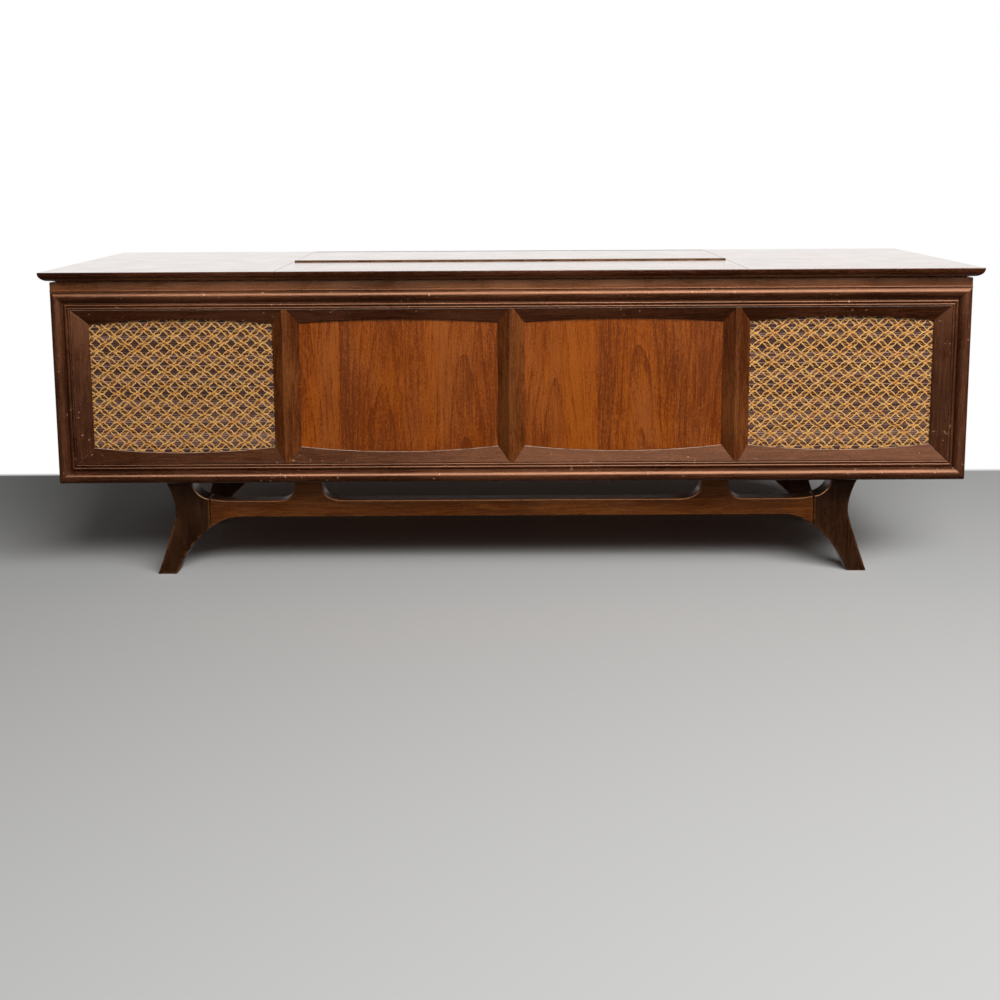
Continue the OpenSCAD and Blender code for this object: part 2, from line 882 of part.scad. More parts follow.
post_out_x = post_x + post_w / 2;
post_in_x = post_x - post_w / 2;
rail_half_outline = concat(
    curve(
        [joint_x - rail_low_start, rail_low_z],
        [joint_x - rail_low_run, rail_low_z],
        [joint_x, joint_low_z]
    ),
    curve(
        [joint_x, joint_high_z],
        [joint_x - rail_high_run, rail_high_z],
        [joint_x - rail_high_start, rail_high_z]
    ),
    curve(
        [post_out_x + post_flare_out, rail_high_z],
        [post_out_x, rail_high_z],
        [post_out_x, rail_high_z + post_flare_h]
    ),
    [[post_out_x, base_h], [post_in_x, base_h]],
    curve(
        [post_in_x, rail_high_z + post_flare_h],
        [post_in_x, rail_high_z],
        [post_in_x - post_flare_in, rail_high_z]
    )
);

module leg(side, y) {
    mirror([side < 0 ? 1 : 0, 0, 0]) along_y(y, y + leg_t) polygon(leg_outline);
}

module front_left_leg() {
    color(dark_wood) leg(-1, front_leg_y);
}

module front_right_leg() {
    color(dark_wood) leg(1, front_leg_y);
}

module rear_legs() {
    color(dark_wood) for (side = [-1, 1])
        leg(side, rear_leg_y);
}

module base_rail(leg_y) {
    along_y(leg_y + rail_inset, leg_y + rail_inset + rail_t)
        polygon(concat(rail_half_outline, mirrored(rail_half_outline)));
}

module front_base_rail() {
    color(rail_wood) base_rail(front_leg_y);
}

module rear_base_rail() {
    color(rail_wood) base_rail(rear_leg_y);
}

module base_cross_rails() {
    color(rail_wood) both_sides() block(
        [post_x - cross_w / 2, front_leg_y + rail_inset + rail_t, base_h - cross_h],
        [post_x + cross_w / 2, rear_leg_y + rail_inset, base_h]
    );
}

// The record changer, placed from the foot of the spindle

module changer_deck() {
    color(board_wood) along_z(deck_z - deck_t, deck_z) difference() {
        translate([-bay_half_w, bay_front_y]) square([bay_half_w + divider_x, back_y - bay_front_y]);
        translate(spindle_place + pulley_place) circle(motor_r + motor_room);
        translate(spindle_place + arm_place) circle(pillar_r);
        translate(spindle_place + overarm_place) circle(pillar_r);
    }
}

module rounded_plate() {
    translate([plate_left + plate_corner_r, plate_front])
        square([plate_right - plate_left - 2 * plate_corner_r, plate_rear - plate_front]);
    translate([plate_left, plate_front + plate_corner_r])
        square([plate_right - plate_left, plate_rear - plate_front - 2 * plate_corner_r]);
    for (x = [plate_left + plate_corner_r, plate_right - plate_corner_r])
        for (y = [plate_front + plate_corner_r, plate_rear - plate_corner_r])
            translate([x, y]) circle(plate_corner_r);
}

// The tonearm's rest: a post with a saddle, and a cheek on the side away from the platter
module arm_rest() {
    post_r = 4;
    cheek_t = 2;
    saddle_d = 6;
    saddle_t = 3;
    half_w = arm_r + slide_clear;
    saddle_z = arm_z - arm_r - slide_clear;
    translate(arm_place + [0, arm_rest_y, 0]) {
        along_z(plate_z, saddle_z) circle(post_r);
        block([-half_w, -saddle_d / 2, saddle_z - saddle_t], [half_w + cheek_t, saddle_d / 2, saddle_z]);
        block([half_w, -saddle_d / 2, saddle_z - saddle_t], [half_w + cheek_t, saddle_d / 2, arm_z]);
    }
}

module changer_plate() {
    color("#cfc8b8") translate(spindle_place) difference() {
        union() {
            along_z(deck_z, plate_z) rounded_plate();
            along_z(plate_z, plate_z + boss_h) circle(boss_r);
            translate(idler_place) along_z(plate_z, idler_z) circle(2 * stud_r);
            translate(idler_place) along_z(plate_z, idler_z + idler_t) circle(stud_r);
            arm_rest();
        }
        translate(pulley_place) along_z(deck_z - cut_over, plate_z + cut_over) circle(pulley_r + pulley_room);
        for (hole = [[arm_place, pillar_shaft_r], [overarm_place, overarm_shaft_r], [lever_place, shaft_r]])
            translate(hole[0]) along_z(deck_z - cut_over, plate_z + cut_over) circle(hole[1] + run_clear);
    }
}

module changer_motor() {
    color("#6d7074") translate(spindle_place + pulley_place) difference() {
        along_z(deck_z - motor_h, deck_z) circle(motor_r);
        along_z(deck_z - motor_shaft_h, deck_z + cut_over) circle(motor_shaft_r + run_clear);
    }
}

module motor_pulley() {
    color(brass) translate(spindle_place + pulley_place) union() {
        along_z(deck_z - motor_shaft_h + slide_clear, idler_z) circle(motor_shaft_r);
        along_z(idler_z, idler_z + idler_t) circle(pulley_r);
    }
}

module idler_wheel() {
    color(black_plastic) translate(spindle_place + idler_place)
        along_z(idler_z, idler_z + idler_t) difference() {
            circle(idler_r);
            circle(stud_r + run_clear);
        }
}

module platter() {
    color("#c9c6bd") translate(spindle_place) difference() {
        union() {
            along_z(platter_z - platter_disc_t, platter_z) circle(platter_r);
            along_z(platter_z - platter_skirt_h, platter_z) difference() {
                circle(platter_r);
                circle(rim_in_r);
            }
            along_z(plate_z + boss_h, platter_z) circle(boss_r);
        }
        along_z(plate_z, platter_z + cut_over) circle(bearing_r + run_clear);
    }
}

module platter_mat() {
    color("#2b2927") translate(spindle_place) along_z(platter_z, platter_z + mat_t) difference() {
        circle(platter_r - mat_margin);
        circle(bearing_r + slide_clear);
    }
}

module record_spindle() {
    tip_h = 4;
    color(steel) translate(spindle_place) union() {
        along_z(plate_z + boss_h, platter_z + mat_t) circle(bearing_r);
        along_z(platter_z + mat_t, plate_z + spindle_h - tip_h) circle(spindle_r);
        translate([0, 0, plate_z + spindle_h - tip_h])
            cylinder(h = tip_h, r1 = spindle_r, r2 = spindle_r / 2);
    }
}

module tonearm_pillar() {
    flange_t = 3;
    flange_over = 3;
    color(steel) translate(spindle_place + arm_place) difference() {
        union() {
            along_z(deck_z - changer_t, plate_z) circle(pillar_shaft_r);
            along_z(plate_z, plate_z + flange_t) circle(pillar_r + flange_over);
            along_z(plate_z, arm_z - 2 * ear_drop) circle(pillar_r);
            for (x = [-ear_in_x - ear_t, ear_in_x])
                translate([x, -ear_drop, arm_z - 2 * ear_drop - cut_over])
                    cube([ear_t, 2 * ear_drop, 2 * ear_drop + ear_rise + cut_over]);
        }
        bar_x([-2 * ear_in_x, 0, arm_z], 4 * ear_in_x, arm_pin_r + run_clear);
    }
}

module tonearm() {
    block_half = ear_in_x - 2 * slide_clear;
    block_d = 11;
    head_w = 17;
    head_d = 42;
    head_h = 11;
    stylus_tip_r = 0.6;
    stylus_root_r = 3;
    stub_r = 4;
    weight_r = 11;
    weight_d = 24;
    weight_y = pillar_r + 7;
    head_front_y = -arm_len - head_d / 3;
    color(cream_plastic) translate(spindle_place + arm_place + [0, 0, arm_z]) union() {
        bar_x([-ear_in_x - ear_t, 0, 0], 2 * (ear_in_x + ear_t), arm_pin_r);
        block([-block_half, -block_d, -ear_drop], [block_half, block_d, ear_rise]);
        bar_y([0, head_front_y + head_d / 2, 0], -head_front_y - head_d / 2, arm_r);
        bar_y([0, 0, 0], weight_y + weight_d, stub_r);
        bar_y([0, weight_y, 0], weight_d, weight_r);
        block([-head_w / 2, head_front_y, arm_r - head_h], [head_w / 2, head_front_y + head_d, arm_r]);
        translate([0, -arm_len, -stylus_drop])
            cylinder(h = stylus_drop + arm_r - head_h + cut_over, r1 = stylus_tip_r, r2 = stylus_root_r);
    }
}

module record_overarm() {
    reach = norm(overarm_place);
    turn = atan2(-overarm_place.y, -overarm_place.x);
    collar_h = 4;
    pad_drop = 1;
    color(steel) translate(spindle_place + overarm_place) rotate(turn) union() {
        along_z(deck_z - changer_t, overarm_z + overarm_r) circle(overarm_shaft_r);
        along_z(plate_z, plate_z + collar_h) circle(2 * overarm_shaft_r);
        bar_x([0, 0, overarm_z], reach, overarm_r);
        translate([reach, 0, 0])
            along_z(overarm_z - overarm_r - pad_drop, overarm_z + overarm_r) circle(overarm_pad_r);
    }
}

module function_lever() {
    hub_r = 9;
    hub_h = 6;
    handle_len = 30;
    handle_w = 9;
    handle_z = plate_z + 1;
    grip_rise = 3;
    color(cream_plastic) translate(spindle_place + lever_place) union() {
        along_z(deck_z, plate_z) circle(shaft_r);
        along_z(plate_z, plate_z + hub_h) circle(hub_r);
        block([0, -handle_w / 2, handle_z], [handle_len, handle_w / 2, plate_z + hub_h]);
        translate([handle_len, 0, 0])
            along_z(handle_z, plate_z + hub_h + grip_rise) circle(handle_w / 2);
    }
}

// The radio

module control_panel() {
    glass_low_z = control_z - glass_t;
    color("#6b4a2c") difference() {
        block([divider_x, bay_front_y, control_low_z], [bay_half_w, back_y, control_z]);
        translate(dial_place) {
            block(
                [-glass_w / 2 - slide_clear, -glass_d / 2 - slide_clear, glass_low_z],
                [glass_w / 2 + slide_clear, glass_d / 2 + slide_clear, control_z + cut_over]
            );
            block(
                [-glass_w / 2 + glass_ledge, -glass_d / 2 + glass_ledge, control_low_z - cut_over],
                [glass_w / 2 - glass_ledge, glass_d / 2 - glass_ledge, control_z]
            );
        }
        for (place = concat(knob_places, [tuning_place]))
            translate(place)
                along_z(control_low_z - cut_over, control_z + cut_over) circle(shaft_r + run_clear);
        for (place = button_places)
            translate(place) along_z(control_low_z - cut_over, control_z + cut_over)
                square(button_w + 2 * slide_clear, center = true);
    }
}

module dial_glass() {
    color("#d8c79a") translate(dial_place) along_z(control_z - glass_t, control_z)
        square([glass_w, glass_d], center = true);
}

module dial_pointer() {
    low_z = chassis_top_z + slide_clear;
    color("#c03020") translate(dial_place) along_z(low_z, low_z + pointer_h)
        square([pointer_w, pointer_d], center = true);
}

module knob(place, r) {
    skirt_h = 5;
    skirt_over = 2;
    shaft_below = 4;
    translate(place) union() {
        along_z(chassis_top_z - shaft_below, control_z + slide_clear) circle(shaft_r);
        along_z(control_z + slide_clear, control_z + skirt_h) circle(r + skirt_over);
        along_z(control_z + slide_clear, control_z + knob_h) circle(r);
    }
}

module tuning_knob() {
    color(brass) knob(tuning_place, tuning_r);
}

module volume_knob() {
    color(brass) knob(knob_places[0], knob_r);
}

module balance_knob() {
    color(brass) knob(knob_places[1], knob_r);
}

module bass_knob() {
    color(brass) knob(knob_places[2], knob_r);
}

module treble_knob() {
    color(brass) knob(knob_places[3], knob_r);
}

module button(place) {
    below = 3;
    translate(place) along_z(control_low_z - below, control_z + button_h) square(button_w, center = true);
}

module phono_button() {
    color(cream_plastic) button(button_places[0]);
}

module am_button() {
    color(cream_plastic) button(button_places[1]);
}

module fm_button() {
    color(cream_plastic) button(button_places[2]);
}

// The chassis hangs from the control panel by its two ends. It is open underneath, where two
// shields part the tuner, the stereo decoder and the amplifier.
module receiver_chassis() {
    low_z = chassis_top_z - chassis_h;
    cell_pitch = (chassis_right - chassis_left - chassis_t) / chassis_cells;
    color(steel) difference() {
        union() {
            block([chassis_left, chassis_front, low_z], [chassis_right, chassis_rear, chassis_top_z]);
            for (x = [chassis_left, chassis_right - chassis_t])
                block([x, chassis_front, low_z], [x + chassis_t, chassis_rear, control_low_z]);
        }
        for (i = [0:chassis_cells - 1])
            translate([chassis_left + i * cell_pitch, 0, 0]) block(
                [chassis_t, chassis_front + chassis_t, low_z - cut_over],
                [cell_pitch, chassis_rear - chassis_t, chassis_top_z - chassis_t]
            );
        for (place = concat(knob_places, [tuning_place]))
            translate(place) along_z(chassis_top_z - 2 * chassis_t, chassis_top_z + cut_over)
                circle(shaft_r + run_clear);
    }
}

module power_transformer() {
    core = [84, 34, 70];
    coil = [56, 62, 44];
    color("#3a3a3c") translate(transformer_place) union() {
        translate([-core.x / 2, -core.y / 2, 0]) cube(core);
        translate([-coil.x / 2, -coil.y / 2, (core.z - coil.z) / 2]) cube(coil);
    }
}

left_side_panel();
right_side_panel();
bottom_board();
partitions();
back_panel();
cabinet_screws();
cord_grommet();
left_top_board();
right_top_board();
rear_top_strip();
front_fascia();
moulding_rails();
moulding_stiles();
splay_rails();
splay_stiles();
pilasters();
front_panels();
left_grille_cloth();
right_grille_cloth();
speaker_baffles();
woofer_frames();
woofer_cones();
tweeters();
front_left_leg();
front_right_leg();
rear_legs();
front_base_rail();
rear_base_rail();
base_cross_rails();
front_lid_leaf();
rear_lid_leaf();
fold_hinge_front_plate();
fold_hinge_rear_plate();
back_hinge_lid_plate();
back_hinge_fixed_plate();
changer_deck();
changer_plate();
changer_motor();
motor_pulley();
idler_wheel();
platter();
platter_mat();
record_spindle();
tonearm_pillar();
tonearm();
record_overarm();
function_lever();
control_panel();
dial_glass();
dial_pointer();
tuning_knob();
volume_knob();
balance_knob();
bass_knob();
treble_knob();
phono_button();
am_button();
fm_button();
receiver_chassis();
power_transformer();
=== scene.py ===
"""Looks of the stereo console: wood, cloth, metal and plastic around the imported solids.

Metres. X runs right, Y runs back and Z runs up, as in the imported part.
"""

import math
import random

import bpy
from mathutils import Matrix, Vector, noise


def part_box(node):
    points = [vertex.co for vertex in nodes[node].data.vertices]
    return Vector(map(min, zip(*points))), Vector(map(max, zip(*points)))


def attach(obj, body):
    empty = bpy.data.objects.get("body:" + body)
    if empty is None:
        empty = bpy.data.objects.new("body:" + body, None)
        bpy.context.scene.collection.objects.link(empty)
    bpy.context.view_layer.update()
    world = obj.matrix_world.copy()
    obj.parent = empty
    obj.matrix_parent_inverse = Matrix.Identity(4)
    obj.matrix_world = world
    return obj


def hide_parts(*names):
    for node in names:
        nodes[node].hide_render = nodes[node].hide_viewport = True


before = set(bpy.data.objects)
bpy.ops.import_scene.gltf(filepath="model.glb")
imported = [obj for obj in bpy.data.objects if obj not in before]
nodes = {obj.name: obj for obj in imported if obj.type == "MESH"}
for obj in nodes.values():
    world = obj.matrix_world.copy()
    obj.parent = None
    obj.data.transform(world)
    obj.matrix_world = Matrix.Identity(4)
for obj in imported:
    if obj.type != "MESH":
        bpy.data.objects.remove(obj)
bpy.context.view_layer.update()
scene = bpy.context.scene
MM = 0.001


# Building materials

class Shader:
    """One material, built node by node."""

    def __init__(self, name):
        self.material = bpy.data.materials.new(name)
        self.material.use_nodes = True
        self.tree = self.material.node_tree
        self.surface = self.tree.nodes["Principled BSDF"]
        coordinates = self.node("ShaderNodeTexCoord")
        self.point = coordinates.outputs["Object"]
        self.normal = coordinates.outputs["Normal"]

    def node(self, kind, inputs=None, **settings):
        made = self.tree.nodes.new(kind)
        for key, value in settings.items():
            setattr(made, key, value)
        for key, value in (inputs or {}).items():
            self.feed(made.inputs[key], value)
        return made

    def feed(self, socket, value):
        if isinstance(value, bpy.types.NodeSocket):
            self.tree.links.new(value, socket)
        else:
            socket.default_value = value

    def set(self, **values):
        """Feeds the surface shader: coat_weight=0.3 sets Coat Weight."""
        for key, value in values.items():
            title = key.replace("_", " ").title().replace("Ior", "IOR")
            self.feed(self.surface.inputs[title], value)
        return self

    def math(self, operation, a, b=0.0, clamp=False):
        made = self.node("ShaderNodeMath", {0: a, 1: b}, operation=operation, use_clamp=clamp)
        return made.outputs[0]

    def axes(self):
        return self.node("ShaderNodeSeparateXYZ", {0: self.point}).outputs

    def vector(self, x, y, z):
        return self.node("ShaderNodeCombineXYZ", {0: x, 1: y, 2: z}).outputs[0]

    def stretched(self, scale):
        made = self.node("ShaderNodeMapping", {"Vector": self.point, "Scale": scale})
        return made.outputs[0]

    def noise(self, vector, scale, detail=3.0, roughness=0.55, distortion=0.0):
        made = self.node("ShaderNodeTexNoise", {
            "Vector": vector, "Scale": scale, "Detail": detail,
            "Roughness": roughness, "Distortion": distortion,
        })
        return made.outputs[0]

    def span(self, value, low, high, to_low=0.0, to_high=1.0):
        made = self.node("ShaderNodeMapRange", {
            "Value": value, "From Min": low, "From Max": high, "To Min": to_low, "To Max": to_high,
        })
        return made.outputs[0]

    def ramp(self, value, *stops):
        made = self.node("ShaderNodeValToRGB", {0: value})
        elements = made.color_ramp.elements
        while len(elements) < len(stops):
            elements.new(0.5)
        for element, (place, colour) in zip(elements, stops):
            element.position = place
            element.color = (*colour, 1.0)
        return made.outputs[0]

    def mix(self, share, a, b, blend="MIX"):
        made = self.node("ShaderNodeMix", data_type="RGBA", blend_type=blend)
        for index, value in ((0, share), (6, a), (7, b)):
            if not isinstance(value, (float, bpy.types.NodeSocket)):
                value = (*value, 1.0)
            self.feed(made.inputs[index], value)
        return made.outputs[2]

    def bump(self, height, distance, strength=1.0):
        made = self.node("ShaderNodeBump", {
            "Height": height, "Distance": distance, "Strength": strength,
        })
        return made.outputs[0]

    def edges(self, radius):
        """One along the sharp edges and zero on the faces."""
        rounded = self.node("ShaderNodeBevel", {"Radius": radius}, samples=4)
        flat = self.node("ShaderNodeNewGeometry")
        agree = self.node("ShaderNodeVectorMath", {
            0: rounded.outputs[0], 1: flat.outputs["Normal"],
        }, operation="DOT_PRODUCT")
        return self.span(agree.outputs["Value"], 0.995, 0.9)


# For each way that the grain runs: the axes across it, through the board and along it
GRAIN_AXES = {"X": (2, 1, 0), "Y": (0, 2, 1), "Z": (0, 1, 2), "top": (1, 2, 0)}
TONE_STOPS = (0.36, 0.49, 0.62)
LACQUER = (1.0, 0.5, 0.29, 1.0)   # tint of the lacquer's gloss
ORANGE = (1.12, 1.02, 0.4)        # the colour drifts towards itself times this
SWAY = 0.03                       # slow bends of the grain, in metres
RING_WIDTH = 12 * MM
RING_SLANT = 0.07                 # how steeply the rings were cut
STRIP_SHIFT = 0.3                 # how far a strip of veneer is moved along the log, in metres
STRIP_DEPTH = 0.37                # how much deeper in the log the next strip was cut, in metres
STRIP_TONE = 0.14                 # how far the strips differ in tone
PORE_SHARE = 0.3


def wood(name, grain, tones, figure=0.0, flecks=0.4, drift=0.2, roughness=0.28, gloss=0.7,
         wear=0.5, rubbed=(0.55, 0.33, 0.19), worn_width=1.6 * MM, bare=0.57, nicks=0.0,
         strips=None, edge_tones=None):
    """Lacquered wood. tones run from dark to light, and grain names the way that it runs.

    figure, flecks and drift draw growth rings, short marks and a slow change to orange. Worn edges
    take the rubbed colour, which is also a painted highlight on the legs and rails; bare is the level
    of a noise above which they are worn. nicks are small knocks through the lacquer. strips lays the
    veneer in strips, and edge_tones colours the edges of a level board.
    """
    s = Shader(name)
    axes = s.axes()
    across, through, along = (axes[i] for i in GRAIN_AXES[grain])
    if strips:
        # Strips of veneer, laid outward from the middle on both sides
        side = s.math("SIGN", across)
        reach = s.math("SUBTRACT", s.math("ABSOLUTE", across), strips["start"])
        place = s.math("DIVIDE", reach, strips["width"])
        strip = s.math("FLOOR", place)
        number = s.math("ADD", strip, s.math("MULTIPLY", side, strips["seed"]))
        draw = s.node("ShaderNodeTexWhiteNoise", {"W": number}, noise_dimensions="1D").outputs["Value"]
        aside = s.math("SUBTRACT", s.math("SUBTRACT", place, strip), 0.5)
        across = s.math("MULTIPLY", aside, strips["width"])
        along = s.math("ADD", along, s.math("MULTIPLY", draw, STRIP_SHIFT))
        through = s.math("ADD", through, s.math("MULTIPLY", number, STRIP_DEPTH))
    slow = s.vector(s.math("MULTIPLY", across, 2.5), through, s.math("MULTIPLY", along, 0.6))
    sway = s.math("SUBTRACT", s.noise(slow, 7.0, 2.0), 0.5)
    across = s.math("ADD", across, s.math("MULTIPLY", sway, SWAY))

    def lengthwise(stretch):
        return s.vector(across, through, s.math("MULTIPLY", along, stretch))

    fine = s.noise(lengthwise(0.05), 480.0, 3.0, 0.65)
    streak = s.noise(lengthwise(0.025), 150.0, 3.0, 0.6)
    fleck = s.noise(lengthwise(0.3), 620.0, 2.0, 0.6)
    cloud = s.noise(lengthwise(0.35), 9.0, 2.0)
    pore = s.span(s.noise(lengthwise(0.06), 1150.0, 2.0), 0.56, 0.7)
    tone = 0.5
    for layer, share in ((fine, 0.6), (streak, 0.3), (fleck, flecks), (cloud, 0.6)):
        tone = s.math("ADD", tone, s.math("MULTIPLY", s.math("SUBTRACT", layer, 0.5), share))
    if figure:
        # Growth rings cut at a slant, which draw tall pointed arches on a flat face
        depth = s.math("MULTIPLY", along, RING_SLANT)
        heart = s.math("SQRT", s.math("ADD", s.math("POWER", across, 2.0), s.math("POWER", depth, 2.0)))
        ring = s.math("POWER", s.math("FRACT", s.math("DIVIDE", heart, RING_WIDTH)), 5.0)
        broken = s.math("MULTIPLY", ring, s.span(streak, 0.35, 0.55))
        tone = s.math("SUBTRACT", tone, s.math("MULTIPLY", broken, figure))
    if strips:
        tone = s.math("ADD", tone, s.math("MULTIPLY", s.math("SUBTRACT", draw, 0.5), STRIP_TONE))
    colour = s.ramp(tone, *zip(TONE_STOPS, tones))
    if edge_tones:
        # Only the faces that lie level keep the tones
        level = s.node("ShaderNodeSeparateXYZ", {0: s.normal}).outputs["Z"]
        face = s.span(s.math("ABSOLUTE", level), 0.93, 0.98)
        colour = s.mix(face, s.ramp(tone, *zip(TONE_STOPS, edge_tones)), colour)
    orange = s.span(s.noise(lengthwise(0.15), 14.0, 2.0), 0.42, 0.62, 0.0, drift)
    if strips:
        orange = s.math("ADD", orange, s.math("SUBTRACT", draw, 0.5), clamp=True)
    colour = s.mix(orange, colour, ORANGE, "MULTIPLY")
    colour = s.mix(s.math("MULTIPLY", pore, PORE_SHARE), colour, tuple(0.4 * c for c in tones[0]))
    if wear:
        patch = s.span(s.noise(s.point, 60.0, 4.0, 0.7), bare, bare + 0.09)
        worn = s.math("MULTIPLY", s.math("MULTIPLY", s.edges(worn_width), patch), wear)
        colour = s.mix(worn, colour, rubbed)
    if nicks:
        # Small spots, only in the places that were struck
        struck = s.span(s.noise(s.point, 9.0, 1.0), 0.48, 0.56)
        spot = s.span(s.noise(s.point, 120.0, 1.0), 0.715, 0.75)
        colour = s.mix(s.math("MULTIPLY", s.math("MULTIPLY", spot, struck), nicks), colour, rubbed)
    rough = s.span(s.noise(s.point, 14.0, 3.0), 0.3, 0.7, roughness - 0.05, roughness + 0.07)
    height = s.math("SUBTRACT", s.math("MULTIPLY", fine, 0.5), pore)
    s.set(base_color=colour, roughness=rough, specular_ior_level=gloss, specular_tint=LACQUER)
    s.set(normal=s.bump(height, 0.03 * MM, 0.25))
    return s


def coated(name, colour, spread=0.12, roughness=0.4, grain=900.0, bump=0.03, worn=None):
    """Paint, plastic, rubber or board: one colour that varies a little, with a fine skin."""
    s = Shader(name)
    cloud = s.noise(s.point, 18.0, 4.0, 0.6)
    skin = s.noise(s.point, grain, 2.0)
    low = tuple(c * (1 - spread) for c in colour)
    high = tuple(min(1.0, c * (1 + spread)) for c in colour)
    shade = s.ramp(s.math("ADD", s.math("MULTIPLY", cloud, 0.7), s.math("MULTIPLY", skin, 0.3)),
                   (0.3, low), (0.7, high))
    if worn:
        patch = s.span(s.noise(s.point, 90.0, 3.0, 0.7), 0.5, 0.62)
        shade = s.mix(s.math("MULTIPLY", s.edges(0.6 * MM), patch), shade, worn)
    s.set(base_color=shade, roughness=s.span(cloud, 0.3, 0.7, roughness - 0.06, roughness + 0.08))
    s.set(normal=s.bump(skin, bump * MM, 0.6))
    return s


def metal(name, colour, roughness=0.3, brushed=(1.0, 1.0, 1.0), turned=None, tarnish=0.15):
    """Bare metal, brushed along its long axis or turned about an upright axis."""
    s = Shader(name)
    if turned:
        x, y, _ = s.axes()
        offsets = (s.math("SUBTRACT", x, turned[0]), s.math("SUBTRACT", y, turned[1]))
        squares = (s.math("POWER", offset, 2.0) for offset in offsets)
        radius = s.math("SQRT", s.math("ADD", *squares))
        marks = s.noise(s.vector(radius, 0.0, 0.0), 2600.0, 3.0)
    else:
        marks = s.noise(s.stretched(brushed), 1500.0, 3.0)
    cloud = s.noise(s.point, 30.0, 4.0, 0.6)
    low = tuple(c * (1 - tarnish) for c in colour)
    shade = s.ramp(s.math("ADD", s.math("MULTIPLY", marks, 0.5), s.math("MULTIPLY", cloud, 0.5)),
                   (0.35, low), (0.62, colour))
    s.set(base_color=shade, metallic=1.0, normal=s.bump(marks, 0.008 * MM, 0.5))
    s.set(roughness=s.span(marks, 0.3, 0.7, roughness - 0.06, roughness + 0.08))
    return s


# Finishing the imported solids

SHALLOW_BELOW = math.radians(32)


def smooth_by_angle():
    """A modifier's node group that shades smoothly across every shallow edge."""
    group = bpy.data.node_groups.new("smooth_by_angle", "GeometryNodeTree")
    group.interface.new_socket("Geometry", in_out="INPUT", socket_type="NodeSocketGeometry")
    group.interface.new_socket("Geometry", in_out="OUTPUT", socket_type="NodeSocketGeometry")
    start = group.nodes.new("NodeGroupInput")
    end = group.nodes.new("NodeGroupOutput")
    faces = group.nodes.new("GeometryNodeSetShadeSmooth")
    edges = group.nodes.new("GeometryNodeSetShadeSmooth")
    edges.domain = "EDGE"
    angle = group.nodes.new("GeometryNodeInputMeshEdgeAngle")
    shallow = group.nodes.new("FunctionNodeCompare")
    shallow.data_type = "FLOAT"
    shallow.operation = "LESS_THAN"
    shallow.inputs[1].default_value = SHALLOW_BELOW
    group.links.new(start.outputs[0], faces.inputs["Geometry"])
    group.links.new(faces.outputs[0], edges.inputs["Geometry"])
    group.links.new(angle.outputs["Unsigned Angle"], shallow.inputs[0])
    group.links.new(shallow.outputs[0], edges.inputs["Shade Smooth"])
    group.links.new(edges.outputs[0], end.inputs[0])
    return group


SMOOTH = smooth_by_angle()
WELD_WITHIN = 0.01 * MM
FLAT_WITHIN = math.radians(0.2)
SHARP_ABOVE = math.radians(34)


def soften(piece, width):
    """Joins a solid's faces, rounds its sharp edges a little and shades it smoothly."""
    weld = piece.modifiers.new("weld", "WELD")
    weld.merge_threshold = WELD_WITHIN
    join = piece.modifiers.new("join", "DECIMATE")
    join.decimate_type = "DISSOLVE"
    join.angle_limit = FLAT_WITHIN
    shade = piece.modifiers.new("shade", "NODES")
    shade.node_group = SMOOTH
    bevel = piece.modifiers.new("bevel", "BEVEL")
    bevel.width = width
    bevel.segments = 3
    bevel.limit_method = "ANGLE"
    bevel.angle_limit = SHARP_ABOVE
    bevel.harden_normals = False
    piece.modifiers.new("normals", "WEIGHTED_NORMAL").keep_sharp = True


def dress(names, shader, edge=0.0, rim=None):
    """Gives solids a material. edge rounds their sharp edges, and rim is a material for that rounding."""
    for name in names.split():
        piece = nodes[name]
        piece.data.materials.clear()
        piece.data.materials.append(shader.material)
        if edge:
            soften(piece, edge)
        if rim:
            piece.data.materials.append(rim.material)
            piece.modifiers["bevel"].material = 1


# Bare wood's pale colour, which on the splay rims is also a painted highlight
BARE_WOOD_AND_HIGHLIGHT = (0.62, 0.43, 0.30)


def pale_rim(tones):
    """A rounded edge that is paler where it faces up: lacquer worn off in patches, and a painted highlight.
    """
    s = Shader("pale_rim")
    facing = s.node("ShaderNodeSeparateXYZ", {0: s.normal}).outputs
    # Painted highlight: the pale colour goes only where the rim faces up and not to the side, where light
    # from above would catch it
    upward = s.math("MULTIPLY", s.span(facing["Z"], 0.56, 0.75),
                    s.span(s.math("ABSOLUTE", facing["X"]), 0.2, 0.4, 1.0, 0.0))
    patch = s.span(s.noise(s.point, 40.0, 4.0, 0.7), 0.36, 0.5, 0.25, 1.0)
    bare = s.math("MULTIPLY", upward, patch)
    grain = s.noise(s.stretched((0.1, 1.0, 1.0)), 600.0, 2.0)
    colour = s.mix(bare, tones[1], BARE_WOOD_AND_HIGHLIGHT)
    s.set(base_color=s.mix(s.span(grain, 0.4, 0.7, 0.0, 0.4), colour, tones[0]))
    s.set(roughness=0.4, specular_ior_level=0.3, normal=s.bump(grain, 0.03 * MM, 0.3))
    return s


DARK = ((0.036, 0.0095, 0.0036), (0.078, 0.0232, 0.0098), (0.13, 0.045, 0.021))
NOSE = ((0.056, 0.012, 0.0026), (0.128, 0.0325, 0.0078), (0.235, 0.072, 0.018))
# Painted light: the fascia has the dark wood's colour made lighter, in place of the low light from in front
# that reaches it under the top's overhang
FASCIA_PAINTED_LIT = ((0.066, 0.018, 0.0055), (0.135, 0.042, 0.0145), (0.215, 0.077, 0.031))
LEG = ((0.013, 0.0042, 0.0016), (0.030, 0.0104, 0.0041), (0.054, 0.0195, 0.0085))
RAIL = ((0.062, 0.0136, 0.0014), (0.135, 0.033, 0.0036), (0.23, 0.068, 0.011))
